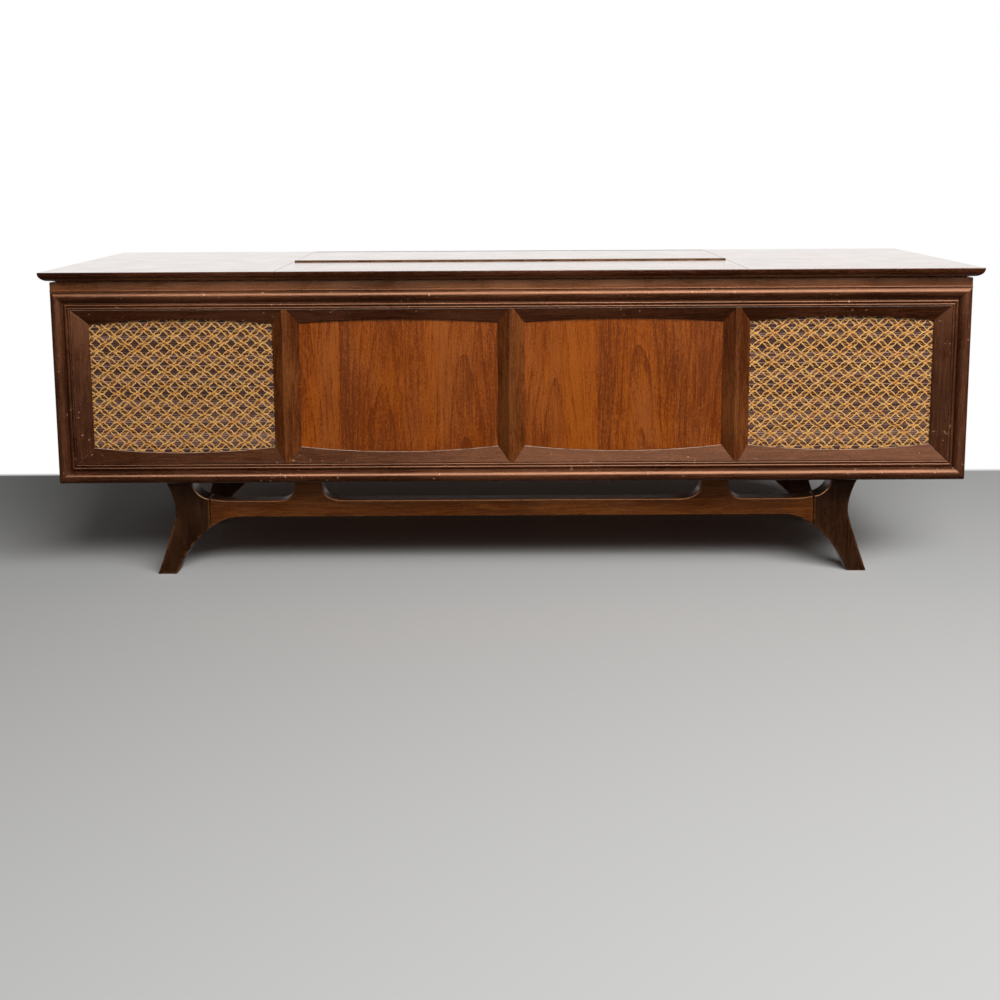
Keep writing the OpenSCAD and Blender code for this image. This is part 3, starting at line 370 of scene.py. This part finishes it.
# Orange of the worn edges on the legs and rails, which also stands as a painted highlight along their
# rounded edges
RUBBED_AND_HIGHLIGHT = (0.34, 0.125, 0.026)
WARM = ((0.162, 0.031, 0.0035), (0.285, 0.061, 0.008), (0.41, 0.106, 0.018))
PANEL = ((0.145, 0.0275, 0.003), (0.254, 0.054, 0.007), (0.365, 0.094, 0.016))
BOARD = ((0.20, 0.12, 0.06), (0.33, 0.21, 0.11), (0.44, 0.30, 0.17))

dark_x = wood("dark_wood_lengthwise", "X", DARK, nicks=0.7)
dark_z = wood("dark_wood_upright", "Z", DARK, nicks=0.7)
splay_x = wood("splay_wood", "X", DARK, gloss=0.15, wear=0.0, nicks=0.5)
splay_worn_and_lit_rim = pale_rim(DARK)
nose_z = wood("pilaster_wood", "Z", NOSE, gloss=0.35)
# The fascia's lighter tones are painted light
fascia_painted_lit = wood("fascia_wood_painted_lit", "X", FASCIA_PAINTED_LIT)
# The legs' and rails' edge colour is partly wear and partly a painted highlight where the rounded edges
# catch the light
leg_z = wood("leg_wood", "Z", LEG, wear=0.8, rubbed=RUBBED_AND_HIGHLIGHT, worn_width=6 * MM, bare=0.42)
rail_x = wood("rail_wood", "X", RAIL, roughness=0.36, gloss=0.4,
              wear=0.8, rubbed=RUBBED_AND_HIGHLIGHT, worn_width=6 * MM, bare=0.42)
rail_y = wood("cross_rail_wood", "Y", RAIL, wear=0.0)
panel = wood("panel_veneer", "Z", PANEL, figure=0.2, flecks=0.6, drift=1.0, roughness=0.4, gloss=0.2,
             wear=0.0, strips={"start": 4 * MM, "width": 172 * MM, "seed": 179.0})
top = wood("top_veneer", "top", WARM, figure=0.05, roughness=0.2, gloss=0.5, edge_tones=DARK)
top.set(coat_weight=1.0, coat_ior=1.6, coat_roughness=0.12, coat_tint=(1.0, 0.955, 0.91, 1.0))
board = wood("carcass_board", "X", BOARD, roughness=0.6, gloss=0.3, wear=0.0)
# Painted shade: the bottom board takes the dark wood's tones so that it throws little light down and the
# space under the cabinet stays dark
underside_shade_board = wood("underside_board_painted_dark", "X", DARK, roughness=0.6, gloss=0.2, wear=0.0)
hardboard = coated("hardboard", (0.15, 0.075, 0.036), 0.25, 0.65, grain=420.0, bump=0.15)

steel = metal("plated_steel", (0.60, 0.60, 0.61), 0.32)
chrome = metal("chrome", (0.78, 0.78, 0.80), 0.12, tarnish=0.06)
old_brass = metal("aged_brass", (0.10, 0.05, 0.022), 0.42, tarnish=0.5)
bright_brass = metal("turned_brass", (0.72, 0.50, 0.22), 0.25)
platter_middle = sum(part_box("platter"), Vector()) / 2
spun = metal("spun_aluminium", (0.72, 0.71, 0.69), 0.28, turned=platter_middle[:2])
spun_cap = metal("spun_cap", (0.74, 0.70, 0.62), 0.26, turned=(0.0, 0.0))
brown_metal = metal("brushed_brown_metal", (0.20, 0.125, 0.07), 0.35, brushed=(0.02, 1.0, 1.0))
cream_paint = coated("cream_paint", (0.56, 0.51, 0.40), 0.05, 0.38, worn=(0.35, 0.34, 0.33))
black_paint = coated("black_paint", (0.022, 0.022, 0.023), 0.3, 0.4, worn=(0.25, 0.25, 0.25))
iron = coated("varnished_iron", (0.045, 0.043, 0.042), 0.35, 0.45, grain=500.0, bump=0.1)
paper = coated("cone_paper", (0.016, 0.0145, 0.013), 0.3, 0.85, grain=700.0, bump=0.2)
rubber = coated("rubber", (0.018, 0.018, 0.018), 0.25, 0.75, grain=1200.0, bump=0.05)
cream_plastic = coated("cream_plastic", (0.68, 0.60, 0.43), 0.05, 0.28, bump=0.01)
dark_plastic = coated("knob_plastic", (0.026, 0.015, 0.009), 0.2, 0.25, bump=0.01)
red_plastic = coated("pointer_red", (0.50, 0.018, 0.008), 0.08, 0.3, bump=0.01)
dial_black = coated("dial_black", (0.016, 0.011, 0.008), 0.3, 0.35, bump=0.01)
dial_ink = coated("dial_ink", (0.72, 0.58, 0.33), 0.06, 0.45, bump=0.01)

glass = Shader("dial_glass")
glass.set(base_color=(1.0, 0.965, 0.88, 1.0), transmission_weight=1.0, ior=1.45)
glass.set(roughness=glass.span(glass.noise(glass.point, 25.0, 4.0, 0.6), 0.4, 0.75, 0.02, 0.1))

dress("front_fascia", fascia_painted_lit, 0.8 * MM)
dress("moulding_rails", dark_x, 0.8 * MM)
dress("splay_rails", splay_x, 1.0 * MM, splay_worn_and_lit_rim)
dress("moulding_stiles splay_stiles left_side_panel right_side_panel", dark_z, 0.8 * MM)
dress("pilasters", nose_z, 0.8 * MM)
dress("front_left_leg front_right_leg rear_legs", leg_z, 2.5 * MM)
dress("front_base_rail rear_base_rail", rail_x, 2.5 * MM)
dress("base_cross_rails", rail_y, 1.5 * MM)
dress("front_panels", panel)
dress("left_top_board right_top_board rear_top_strip front_lid_leaf rear_lid_leaf", top, 0.8 * MM)
dress("partitions speaker_baffles changer_deck", board, 0.5 * MM)
dress("bottom_board", underside_shade_board, 0.5 * MM)
dress("back_panel", hardboard, 0.4 * MM)
dress("fold_hinge_front_plate fold_hinge_rear_plate back_hinge_lid_plate back_hinge_fixed_plate",
      old_brass, 0.2 * MM)
dress("cabinet_screws receiver_chassis", steel, 0.4 * MM)
dress("cord_grommet idler_wheel", rubber, 0.6 * MM)
dress("woofer_frames tweeters changer_motor", black_paint, 0.6 * MM)
dress("woofer_cones", paper)
dress("power_transformer", iron, 1.5 * MM)
dress("changer_plate", cream_paint, 0.8 * MM)
dress("motor_pulley", bright_brass, 0.2 * MM)
dress("platter", spun, 0.8 * MM)
dress("record_spindle tonearm_pillar record_overarm", chrome, 0.5 * MM)
dress("tonearm function_lever", cream_plastic, 0.9 * MM)
dress("phono_button am_button fm_button", cream_plastic, 1.4 * MM)
dress("control_panel", brown_metal, 0.5 * MM)
dress("dial_glass", glass, 0.4 * MM)
dress("dial_pointer", red_plastic, 0.2 * MM)


# Pieces that stand for a plain solid

def add_mesh(name, points, faces, shader, body, place=(0.0, 0.0, 0.0), smooth=True):
    mesh = bpy.data.meshes.new(name)
    mesh.from_pydata(points, [], faces)
    mesh.materials.append(shader.material)
    mesh.polygons.foreach_set("use_smooth", [smooth] * len(mesh.polygons))
    mesh.update()
    piece = bpy.data.objects.new(name, mesh)
    piece.location = place
    scene.collection.objects.link(piece)
    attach(piece, body)
    return piece


class Tubes:
    """Yarns gathered into one mesh: each is a flat tube along a path that lies in the cloth."""

    def __init__(self):
        self.points = []
        self.faces = []

    def add(self, path, half_width, half_depth, sides, lump=0.0):
        first = len(self.points)
        for i, here in enumerate(path):
            ahead = path[min(i + 1, len(path) - 1)] - path[max(i - 1, 0)]
            aside = Vector((ahead.z, 0.0, -ahead.x)).normalized()
            swell = 1.0 + lump * math.sin(1.9 * i)
            for j in range(sides):
                turn = 2 * math.pi * j / sides
                flat = aside * (half_width * swell * math.cos(turn))
                self.points.append(here + flat + Vector((0.0, half_depth * math.sin(turn), 0.0)))
        for i in range(len(path) - 1):
            for j in range(sides):
                k = (j + 1) % sides
                a, b = first + i * sides, first + (i + 1) * sides
                self.faces.append((a + j, a + k, b + k, b + j))
        self.faces.append([first + j for j in range(sides)])
        self.faces.append([first + (len(path) - 1) * sides + j for j in reversed(range(sides))])


DIAMOND_W = 39 * MM
DIAMOND_H = 29.4 * MM
BAND = 0.16           # half the space between a band's two yarns, as a share of a diamond
STITCH = 8 * MM       # one zigzag of the thread between them
STITCH_RISE = STITCH / 2 * DIAMOND_H / math.hypot(DIAMOND_W, DIAMOND_H)
THREAD = 4 * MM       # one of the level threads behind
THREAD_RELIEF = 0.25 * MM
YARN_HALF_WIDTHS = (1.2, 1.4)     # the least and the most, in millimetres
YARN_HALF_DEPTH = 0.36 * MM
STITCH_HALF_WIDTH = 0.85 * MM
STITCH_HALF_DEPTH = 0.32 * MM
OVER_UNDER = 0.2 * MM  # how far a yarn rises over those that it crosses
DRAWN_IN = 0.045      # how far the crossings are drawn together, as a share of a diamond
PLACING = 0.012       # how far a yarn may lie from its place, as a share of a diamond
PULL_X = 2.2 * MM
PULL_Z = 1.6 * MM
PULLS = 11.0          # how quickly the pull changes, per metre


def cloth_material():
    s = Shader("grille_cloth")
    x, _, z = s.axes()
    level = s.math("DIVIDE", z, THREAD)
    row = s.math("FLOOR", level)
    draw = s.node("ShaderNodeTexWhiteNoise", {"W": row}, noise_dimensions="1D").outputs["Value"]
    along = s.vector(s.math("MULTIPLY", x, 22.0), s.math("MULTIPLY", row, 3.7), 0.0)
    slub = s.noise(along, 3.0, 3.0, 0.6)
    tone = s.math("ADD", s.math("MULTIPLY", draw, 0.45), s.math("MULTIPLY", slub, 0.55))
    hill = s.math("PINGPONG", level, 0.5)
    shade = s.ramp(s.math("MULTIPLY", tone, s.span(hill, 0.0, 0.35, 0.35, 1.0)),
                   (0.15, (0.035, 0.016, 0.012)), (0.43, (0.13, 0.062, 0.045)), (0.66, (0.42, 0.25, 0.19)))
    fibre = s.noise(s.stretched((1.0, 1.0, 6.0)), 900.0, 2.0)
    s.set(base_color=shade, roughness=0.85, specular_ior_level=0.1)
    s.set(normal=s.bump(s.math("ADD", hill, s.math("MULTIPLY", fibre, 0.3)), 0.35 * MM, 0.7))
    return s


def yarn_material(name, dark, light):
    s = Shader(name)
    ply = s.noise(s.point, 700.0, 2.0)
    patch = s.noise(s.point, 75.0, 3.0)
    tone = s.math("ADD", s.math("MULTIPLY", ply, 0.5), s.math("MULTIPLY", patch, 0.5))
    s.set(base_color=s.ramp(tone, (0.35, dark), (0.65, light)), roughness=0.65)
    s.set(specular_ior_level=0.2, normal=s.bump(ply, 0.15 * MM, 0.6))
    return s


CLOTH = cloth_material()
GOLD = yarn_material("gold_yarn", (0.88, 0.35, 0.062), (1.0, 0.66, 0.23))
AMBER = yarn_material("amber_stitch", (0.58, 0.18, 0.027), (1.0, 0.48, 0.12))


# The noise of the weave would otherwise start from the time of day
noise.seed_set(1)


def pull(x, z, seed):
    """How far the stretched weave has been pulled aside."""
    wave = noise.noise_vector(Vector((x * PULLS, z * PULLS, seed)))
    return PULL_X * wave.x, PULL_Z * wave.y


def grille(side, seed):
    low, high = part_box(side + "_grille_cloth")
    back_y = high.y - 0.1 * MM
    columns = 40
    rows = 2 * round((high.z - low.z) / THREAD)
    points = []
    for i in range(rows + 1):
        for j in range(columns + 1):
            x = low.x + (high.x - low.x) * j / columns
            z = low.z + (high.z - low.z) * i / rows
            points.append((x, back_y - (i % 2) * THREAD_RELIEF, z))
    faces = []
    for i in range(rows):
        for j in range(columns):
            a = i * (columns + 1) + j
            faces.append((a, a + 1, a + columns + 2, a + columns + 1))
    sheet = add_mesh(side + "_grille_sheet", points, faces, CLOTH, "cabinet")

    rng = random.Random(seed)
    gold, amber = Tubes(), Tubes()
    yarn_y = low.y + 0.55 * MM

    def path(slant, place, zigzag, step):
        """One yarn across the cloth: it leans by slant, less so where the bands cross.

        zigzag swings it from side to side.
        """
        found = []
        z = low.z
        count = 0
        while z < high.z:
            swing = zigzag * (1 if count % 2 else -1)
            x = DIAMOND_W * (place + swing - slant * z / DIAMOND_H)
            aside, rise = pull(x, z, seed)
            rise -= DRAWN_IN * DIAMOND_H * math.sin(4 * math.pi * z / DIAMOND_H)
            over = slant * OVER_UNDER * math.cos(math.pi * (x / DIAMOND_W - slant * z / DIAMOND_H))
            if low.x < x + aside < high.x and low.z < z + rise < high.z:
                found.append(Vector((x + aside, yarn_y + over, z + rise)))
            z += step
            count += 1
        return found

    for slant in (-1, 1):
        ends = [x / DIAMOND_W + slant * z / DIAMOND_H for x in (low.x, high.x) for z in (low.z, high.z)]
        for band in range(math.floor(min(ends)), math.ceil(max(ends)) + 1):
            for offset in (-BAND, BAND):
                place = band + offset + rng.uniform(-PLACING, PLACING)
                yarn = path(slant, place, 0.1 * BAND, STITCH_RISE)
                if len(yarn) > 2:
                    half_width = rng.uniform(*YARN_HALF_WIDTHS) * MM
                    gold.add(yarn, half_width, YARN_HALF_DEPTH, sides=5, lump=0.35)
            stitch = path(slant, band, 0.9 * BAND, STITCH_RISE)
            if len(stitch) > 2:
                amber.add(stitch, STITCH_HALF_WIDTH, STITCH_HALF_DEPTH, sides=4, lump=0.2)
    yarns = add_mesh(side + "_grille_yarn", gold.points, gold.faces, GOLD, "cabinet")
    stitches = add_mesh(side + "_grille_stitch", amber.points, amber.faces, AMBER, "cabinet")
    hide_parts(side + "_grille_cloth")


grille("left", 1)
grille("right", 2)


# Turned pieces

def turned(name, place, profile, shader, body, segments=64, flutes=0, flute_depth=0.0, hollow=False):
    """A body of revolution about an upright axis.

    profile lists radius, height and whether the flutes cut in there, from the bottom to the top.
    A hollow one runs on from its last ring to its first.
    """
    points = []
    for radius, height, fluted in profile:
        for j in range(segments):
            turn = 2 * math.pi * j / segments
            cut = flute_depth * (0.5 + 0.5 * math.cos(flutes * turn)) if fluted else 0.0
            points.append(((radius - cut) * math.cos(turn), (radius - cut) * math.sin(turn), height))
    rings = len(profile)
    faces = []
    for i in range(rings if hollow else rings - 1):
        here, above = i * segments, (i + 1) % rings * segments
        for j in range(segments):
            k = (j + 1) % segments
            faces.append((here + j, here + k, above + k, above + j))
    if not hollow:
        faces.append(list(reversed(range(segments))))
        faces.append(list(range((rings - 1) * segments, rings * segments)))
    piece = add_mesh(name, points, faces, shader, body, place)
    shade = piece.modifiers.new("shade", "NODES")
    shade.node_group = SMOOTH
    return piece


INK = 0.06 * MM


def bars(name, boxes, shader, body):
    """Printed marks: thin bars, each given by its middle, its half length, its half width and its turn."""
    points, faces = [], []
    for middle, half_length, half_width, turn in boxes:
        along = Vector((math.cos(turn), math.sin(turn), 0.0)) * half_length
        aside = Vector((-math.sin(turn), math.cos(turn), 0.0)) * half_width
        first = len(points)
        for height in (0.0, INK):
            for a, b in ((-1, -1), (1, -1), (1, 1), (-1, 1)):
                points.append(Vector(middle) + a * along + b * aside + Vector((0.0, 0.0, height)))
        for face in ((3, 2, 1, 0), (4, 5, 6, 7), (0, 1, 5, 4), (1, 2, 6, 5), (2, 3, 7, 6), (3, 0, 4, 7)):
            faces.append([first + i for i in face])
    return add_mesh(name, points, faces, shader, body, smooth=False)


panel_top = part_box("control_panel")[1].z
KNOB_SHAFT = 3 * MM
SKIRT_OVER = 2 * MM       # how far the skirt stands out past the grip
CAP_RIM = 3.4 * MM        # plastic left around the cap
CAP_FIT = 0.1 * MM
FLUTE_DEPTH = 0.9 * MM
SCALE_STEP = math.radians(30)
SCALE_STEPS = 5           # marks on either side of the middle one


def knob(name, flutes):
    """A fluted grip on a skirt, with a spun cap and a red line. Gives its middle and its radius."""
    low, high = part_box(name + "_knob")
    middle = (low + high) / 2
    skirt = (high.x - low.x) / 2
    grip = skirt - SKIRT_OVER
    lip = grip - CAP_RIM
    top_z = high.z
    place = (middle.x, middle.y, 0.0)
    body = turned(name + "_grip", place, [
        (KNOB_SHAFT, low.z, False), (KNOB_SHAFT, panel_top + 0.3 * MM, False),
        (skirt - 0.5 * MM, panel_top + 0.3 * MM, False), (skirt, panel_top + 0.8 * MM, False),
        (skirt, panel_top + 3.4 * MM, False), (skirt - 1.0 * MM, panel_top + 4.8 * MM, False),
        (grip, panel_top + 5.0 * MM, True), (grip - 0.3 * MM, top_z - 1.8 * MM, True),
        (grip - 1.0 * MM, top_z - 0.5 * MM, True), (grip - 2.0 * MM, top_z, False),
        (lip, top_z, False), (lip, top_z - 0.8 * MM, False),
    ], dark_plastic, name, segments=6 * flutes, flutes=flutes, flute_depth=FLUTE_DEPTH)
    cap = turned(name + "_cap", place, [
        (lip - CAP_FIT, top_z - 0.8 * MM, False), (lip - CAP_FIT, top_z - 0.35 * MM, False),
        (lip - 0.5 * MM, top_z - 0.1 * MM, False), (0.3 * lip, top_z - 0.1 * MM, False),
        (0.25 * lip, top_z - 0.4 * MM, False), (0.4 * MM, top_z - 0.4 * MM, False),
    ], spun_cap, name)
    line_place = (middle.x, middle.y + 0.7 * lip, top_z - 0.1 * MM)
    line = bars(name + "_line", [(line_place, 0.26 * lip, 0.5 * MM, math.pi / 2)], red_plastic, name)
    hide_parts(name + "_knob")
    return middle, skirt


knob("tuning", 40)
scale_marks = []
for name in ("volume", "balance", "bass", "treble"):
    middle, skirt = knob(name, 28)
    for step in range(-SCALE_STEPS, SCALE_STEPS + 1):
        turn = math.pi / 2 + SCALE_STEP * step
        # The middle mark and the two at the ends are longer
        long_mark = step % SCALE_STEPS == 0
        reach = skirt + (5.0 if long_mark else 4.4) * MM
        spot = (middle.x + reach * math.cos(turn), middle.y + reach * math.sin(turn), panel_top)
        scale_marks.append((spot, (1.8 if long_mark else 1.2) * MM, 0.35 * MM, turn))
bars("knob_scales", scale_marks, dial_ink, "cabinet")


GROOVE_DEPTH = 0.9 * MM
GROOVE_PITCH = 4 * MM
FIRST_GROOVE = 22 * MM
PLAIN_EDGE = 6 * MM
SPINDLE_GAP = 0.3 * MM


def ribbed_mat():
    """The mat on the platter, with round grooves."""
    low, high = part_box("platter_mat")
    middle = (low + high) / 2
    outer = (high.x - low.x) / 2
    spindle_low, spindle_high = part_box("record_spindle")
    hole = (spindle_high.x - spindle_low.x) / 2 + SPINDLE_GAP
    groove_z = high.z - GROOVE_DEPTH
    profile = [(hole, low.z, False), (hole, high.z - 0.4 * MM, False), (hole + 0.4 * MM, high.z, False)]
    radius = FIRST_GROOVE
    while radius < outer - PLAIN_EDGE:
        profile += [(radius, high.z, False), (radius + 0.4 * MM, groove_z, False)]
        profile += [(radius + 1.6 * MM, groove_z, False), (radius + 2.0 * MM, high.z, False)]
        radius += GROOVE_PITCH
    profile += [(outer - 0.8 * MM, high.z, False), (outer, high.z - 0.8 * MM, False), (outer, low.z, False)]
    place = (middle.x, middle.y, 0.0)
    mat = turned("ribbed_mat", place, profile, rubber, "platter", segments=96, hollow=True)
    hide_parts("platter_mat")


ribbed_mat()


# The dial behind its glass

DIAL_CARD = 0.18 * MM     # thickness of the card
CARD_CORNER = 4 * MM
DIAL_TRAVEL = 110 * MM    # of the pointer, to either side
LINE_OUT = 8 * MM         # from the middle to a scale's line
NUMBER_OUT = 10 * MM      # from that line to its numbers
NUMBER_SIZE = 8 * MM
LONG_TICK = 2.2 * MM      # half lengths
SHORT_TICK = 1.1 * MM
SCALES = (
    {"marks": (88, 92, 96, 100, 104, 108), "between": 4, "outward": 1},
    {"marks": (55, 60, 70, 80, 100, 120, 140, 160), "between": 2, "outward": -1},
)


def numerals(name, entries, size, shader, body):
    """Numbers laid flat, each given by its text and its middle."""
    points, faces = [], []
    for text, middle in entries:
        curve = bpy.data.curves.new(name, "FONT")
        curve.body = text
        curve.size = size
        curve.align_x = "CENTER"
        curve.align_y = "CENTER"
        letters = bpy.data.objects.new(name, curve)
        mesh = bpy.data.meshes.new_from_object(letters)
        first = len(points)
        points += [vertex.co + Vector(middle) for vertex in mesh.vertices]
        faces += [[first + i for i in polygon.vertices] for polygon in mesh.polygons]
        bpy.data.objects.remove(letters)
    return add_mesh(name, points, faces, shader, body, smooth=False)


def dial_card(middle, half_w, half_d, low_z, top_z):
    """A thin card with rounded corners."""
    radius = CARD_CORNER
    outline = []
    for quarter, (a, b) in enumerate(((1, 1), (-1, 1), (-1, -1), (1, -1))):
        for step in range(7):
            turn = math.pi / 2 * (quarter + step / 6)
            outline.append((middle.x + a * (half_w - radius) + radius * math.cos(turn),
                            middle.y + b * (half_d - radius) + radius * math.sin(turn)))
    count = len(outline)
    points = [(x, y, z) for z in (low_z, top_z) for x, y in outline]
    faces = [list(reversed(range(count))), list(range(count, 2 * count))]
    for i in range(count):
        k = (i + 1) % count
        faces.append((i, k, count + k, count + i))
    return add_mesh("dial_card", points, faces, dial_black, "cabinet", smooth=False)


def dial():
    """The card behind the glass, with a printed scale for each waveband."""
    low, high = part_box("dial_glass")
    middle = (low + high) / 2
    card_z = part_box("receiver_chassis")[1].z
    top_z = card_z + DIAL_CARD
    card = dial_card(middle, (high.x - low.x) / 2, (high.y - low.y) / 2, card_z, top_z)
    ticks, numbers = [], []
    for scale in SCALES:
        marks, outward = scale["marks"], scale["outward"]
        line_y = middle.y + outward * LINE_OUT
        ticks.append(((middle.x, line_y, top_z), DIAL_TRAVEL, 0.25 * MM, 0.0))

        def spot(mark):
            share = math.log(mark / marks[0]) / math.log(marks[-1] / marks[0])
            return middle.x + DIAL_TRAVEL * (2 * share - 1)

        def tick(x, half_length):
            ticks.append(((x, line_y + outward * half_length, top_z), half_length, 0.3 * MM, math.pi / 2))

        for mark, following in zip(marks, marks[1:] + marks[-1:]):
            tick(spot(mark), LONG_TICK)
            numbers.append((str(mark), (spot(mark), line_y + outward * NUMBER_OUT, top_z + INK)))
            for i in range(1, scale["between"]):
                tick(spot(mark + (following - mark) * i / scale["between"]), SHORT_TICK)
    bars("dial_ticks", ticks, dial_ink, "cabinet")
    numerals("dial_numbers", numbers, NUMBER_SIZE, dial_ink, "cabinet")


dial()


# Camera, light and floor

CAMERA = {
    "place": (-0.0185, -2.6709, 0.8555), "yaw": -0.09, "pitch": -7.586, "roll": -0.317,
    "lens": 43.84, "shift": -0.1737,
}


def make_camera():
    yaw, pitch, roll = (math.radians(CAMERA[key]) for key in ("yaw", "pitch", "roll"))
    forward = Vector((math.sin(yaw) * math.cos(pitch), math.cos(yaw) * math.cos(pitch), math.sin(pitch)))
    right = Vector((math.cos(yaw), -math.sin(yaw), 0.0))
    up = right.cross(forward)
    tilted_right = math.cos(roll) * right + math.sin(roll) * up
    tilted_up = math.cos(roll) * up - math.sin(roll) * right
    camera = bpy.data.objects.new("camera", bpy.data.cameras.new("camera"))
    camera.matrix_world = Matrix.Translation(CAMERA["place"]) @ Matrix(
        (tilted_right, tilted_up, -forward)).transposed().to_4x4()
    camera.data.sensor_width = 36.0
    camera.data.lens = CAMERA["lens"]
    camera.data.shift_y = CAMERA["shift"]
    scene.collection.objects.link(camera)
    scene.camera = camera


def make_lamp(name, place, aim, size, power, mirrored_only=False):
    """A soft lamp, or one that only shows in the gloss of what it faces."""
    data = bpy.data.lights.new(name, "AREA")
    data.shape = "RECTANGLE"
    data.size, data.size_y = size
    data.energy = power
    lamp = bpy.data.objects.new(name, data)
    lamp.location = place
    lamp.rotation_euler = (Vector(aim) - Vector(place)).to_track_quat("-Z", "Y").to_euler()
    lamp.visible_camera = False
    lamp.visible_diffuse = not mirrored_only
    scene.collection.objects.link(lamp)


def make_world():
    """White to the camera. Reflections show a white wall behind and a dim room in front.

    Dull surfaces get a little light from above in front, and some that a floor would throw back up.
    """
    world = bpy.data.worlds.new("studio")
    scene.world = world
    world.use_nodes = True
    tree = world.node_tree
    background = tree.nodes["Background"]
    rays = tree.nodes.new("ShaderNodeLightPath").outputs
    direction = tree.nodes.new("ShaderNodeTexCoord").outputs["Generated"]
    split = tree.nodes.new("ShaderNodeSeparateXYZ")
    tree.links.new(direction, split.inputs[0])

    def level(value, low, high, to_low, to_high):
        made = tree.nodes.new("ShaderNodeMapRange")
        tree.links.new(value, made.inputs["Value"])
        for key, number in (("From Min", low), ("From Max", high), ("To Min", to_low), ("To Max", to_high)):
            made.inputs[key].default_value = number
        return made.outputs[0]

    def combine(operation, a, b):
        made = tree.nodes.new("ShaderNodeMath")
        made.operation = operation
        tree.links.new(a, made.inputs[0])
        tree.links.new(b, made.inputs[1])
        return made.outputs[0]

    backward = split.outputs["Y"]
    upward = split.outputs["Z"]
    mirrored = combine("MAXIMUM", rays["Is Glossy Ray"], rays["Is Transmission Ray"])
    above = level(upward, -0.1, 0.02, 0.15, 1.0)
    wall = combine("MULTIPLY", combine("MULTIPLY", mirrored, above), level(backward, -0.2, 0.7, 0.03, 1.0))
    overhead = level(upward, 0.2, 0.6, 0.08, 0.42)
    bounced = level(upward, -0.5, -0.05, 0.25, 0.0)
    front = combine("MULTIPLY", combine("ADD", overhead, bounced), level(backward, -0.75, -0.15, 1.0, 0.02))
    back = combine("MULTIPLY", level(upward, -0.05, 0.1, 0.8, 0.0), level(backward, 0.3, 0.8, 0.0, 1.0))
    ambient = combine("MULTIPLY", rays["Is Diffuse Ray"], combine("ADD", front, back))
    strength = combine("MAXIMUM", combine("ADD", wall, ambient), rays["Is Camera Ray"])
    background.inputs["Color"].default_value = (1.0, 1.0, 1.0, 1.0)
    tree.links.new(strength, background.inputs["Strength"])


FLOOR_BACK = 0.64
FLOOR_FADE = 0.03
FLOOR_REACH = 9.0


def make_floor():
    """A pale floor that turns to white behind the console, as where a wall stands on it."""
    reach = FLOOR_REACH
    mesh = bpy.data.meshes.new("floor")
    corners = [(-reach, -reach, 0), (reach, -reach, 0), (reach, reach, 0), (-reach, reach, 0)]
    mesh.from_pydata(corners, [], [(0, 1, 2, 3)])
    floor = bpy.data.objects.new("floor", mesh)
    floor.visible_glossy = False
    floor.visible_diffuse = False
    scene.collection.objects.link(floor)
    s = Shader("floor")
    s.set(base_color=(0.66, 0.66, 0.65, 1.0), roughness=0.9, specular_ior_level=0.0)
    rays = s.node("ShaderNodeLightPath").outputs
    seen = s.math("MAXIMUM", s.math("MAXIMUM", rays["Is Camera Ray"], rays["Is Glossy Ray"]),
                  rays["Is Transmission Ray"])
    white = s.node("ShaderNodeEmission")
    blend = s.node("ShaderNodeMixShader", {
        0: s.math("MULTIPLY", seen, s.span(s.axes()[1], FLOOR_BACK, FLOOR_BACK + FLOOR_FADE)),
        1: s.surface.outputs[0],
        2: white.outputs[0],
    })
    s.feed(s.tree.nodes["Material Output"].inputs["Surface"], blend.outputs[0])
    mesh.materials.append(s.material)


make_camera()
make_world()
make_floor()
make_lamp("softbox", (1.5, -2.85, 2.9), (0.1, -0.3, 0.2), (4.0, 1.2), 155.0)
make_lamp("highlight", (0.5, -4.0, 1.95), (0.0, -0.26, 0.4), (5.6, 1.5), 340.0, mirrored_only=True)
scene.view_settings.view_transform = "Standard"
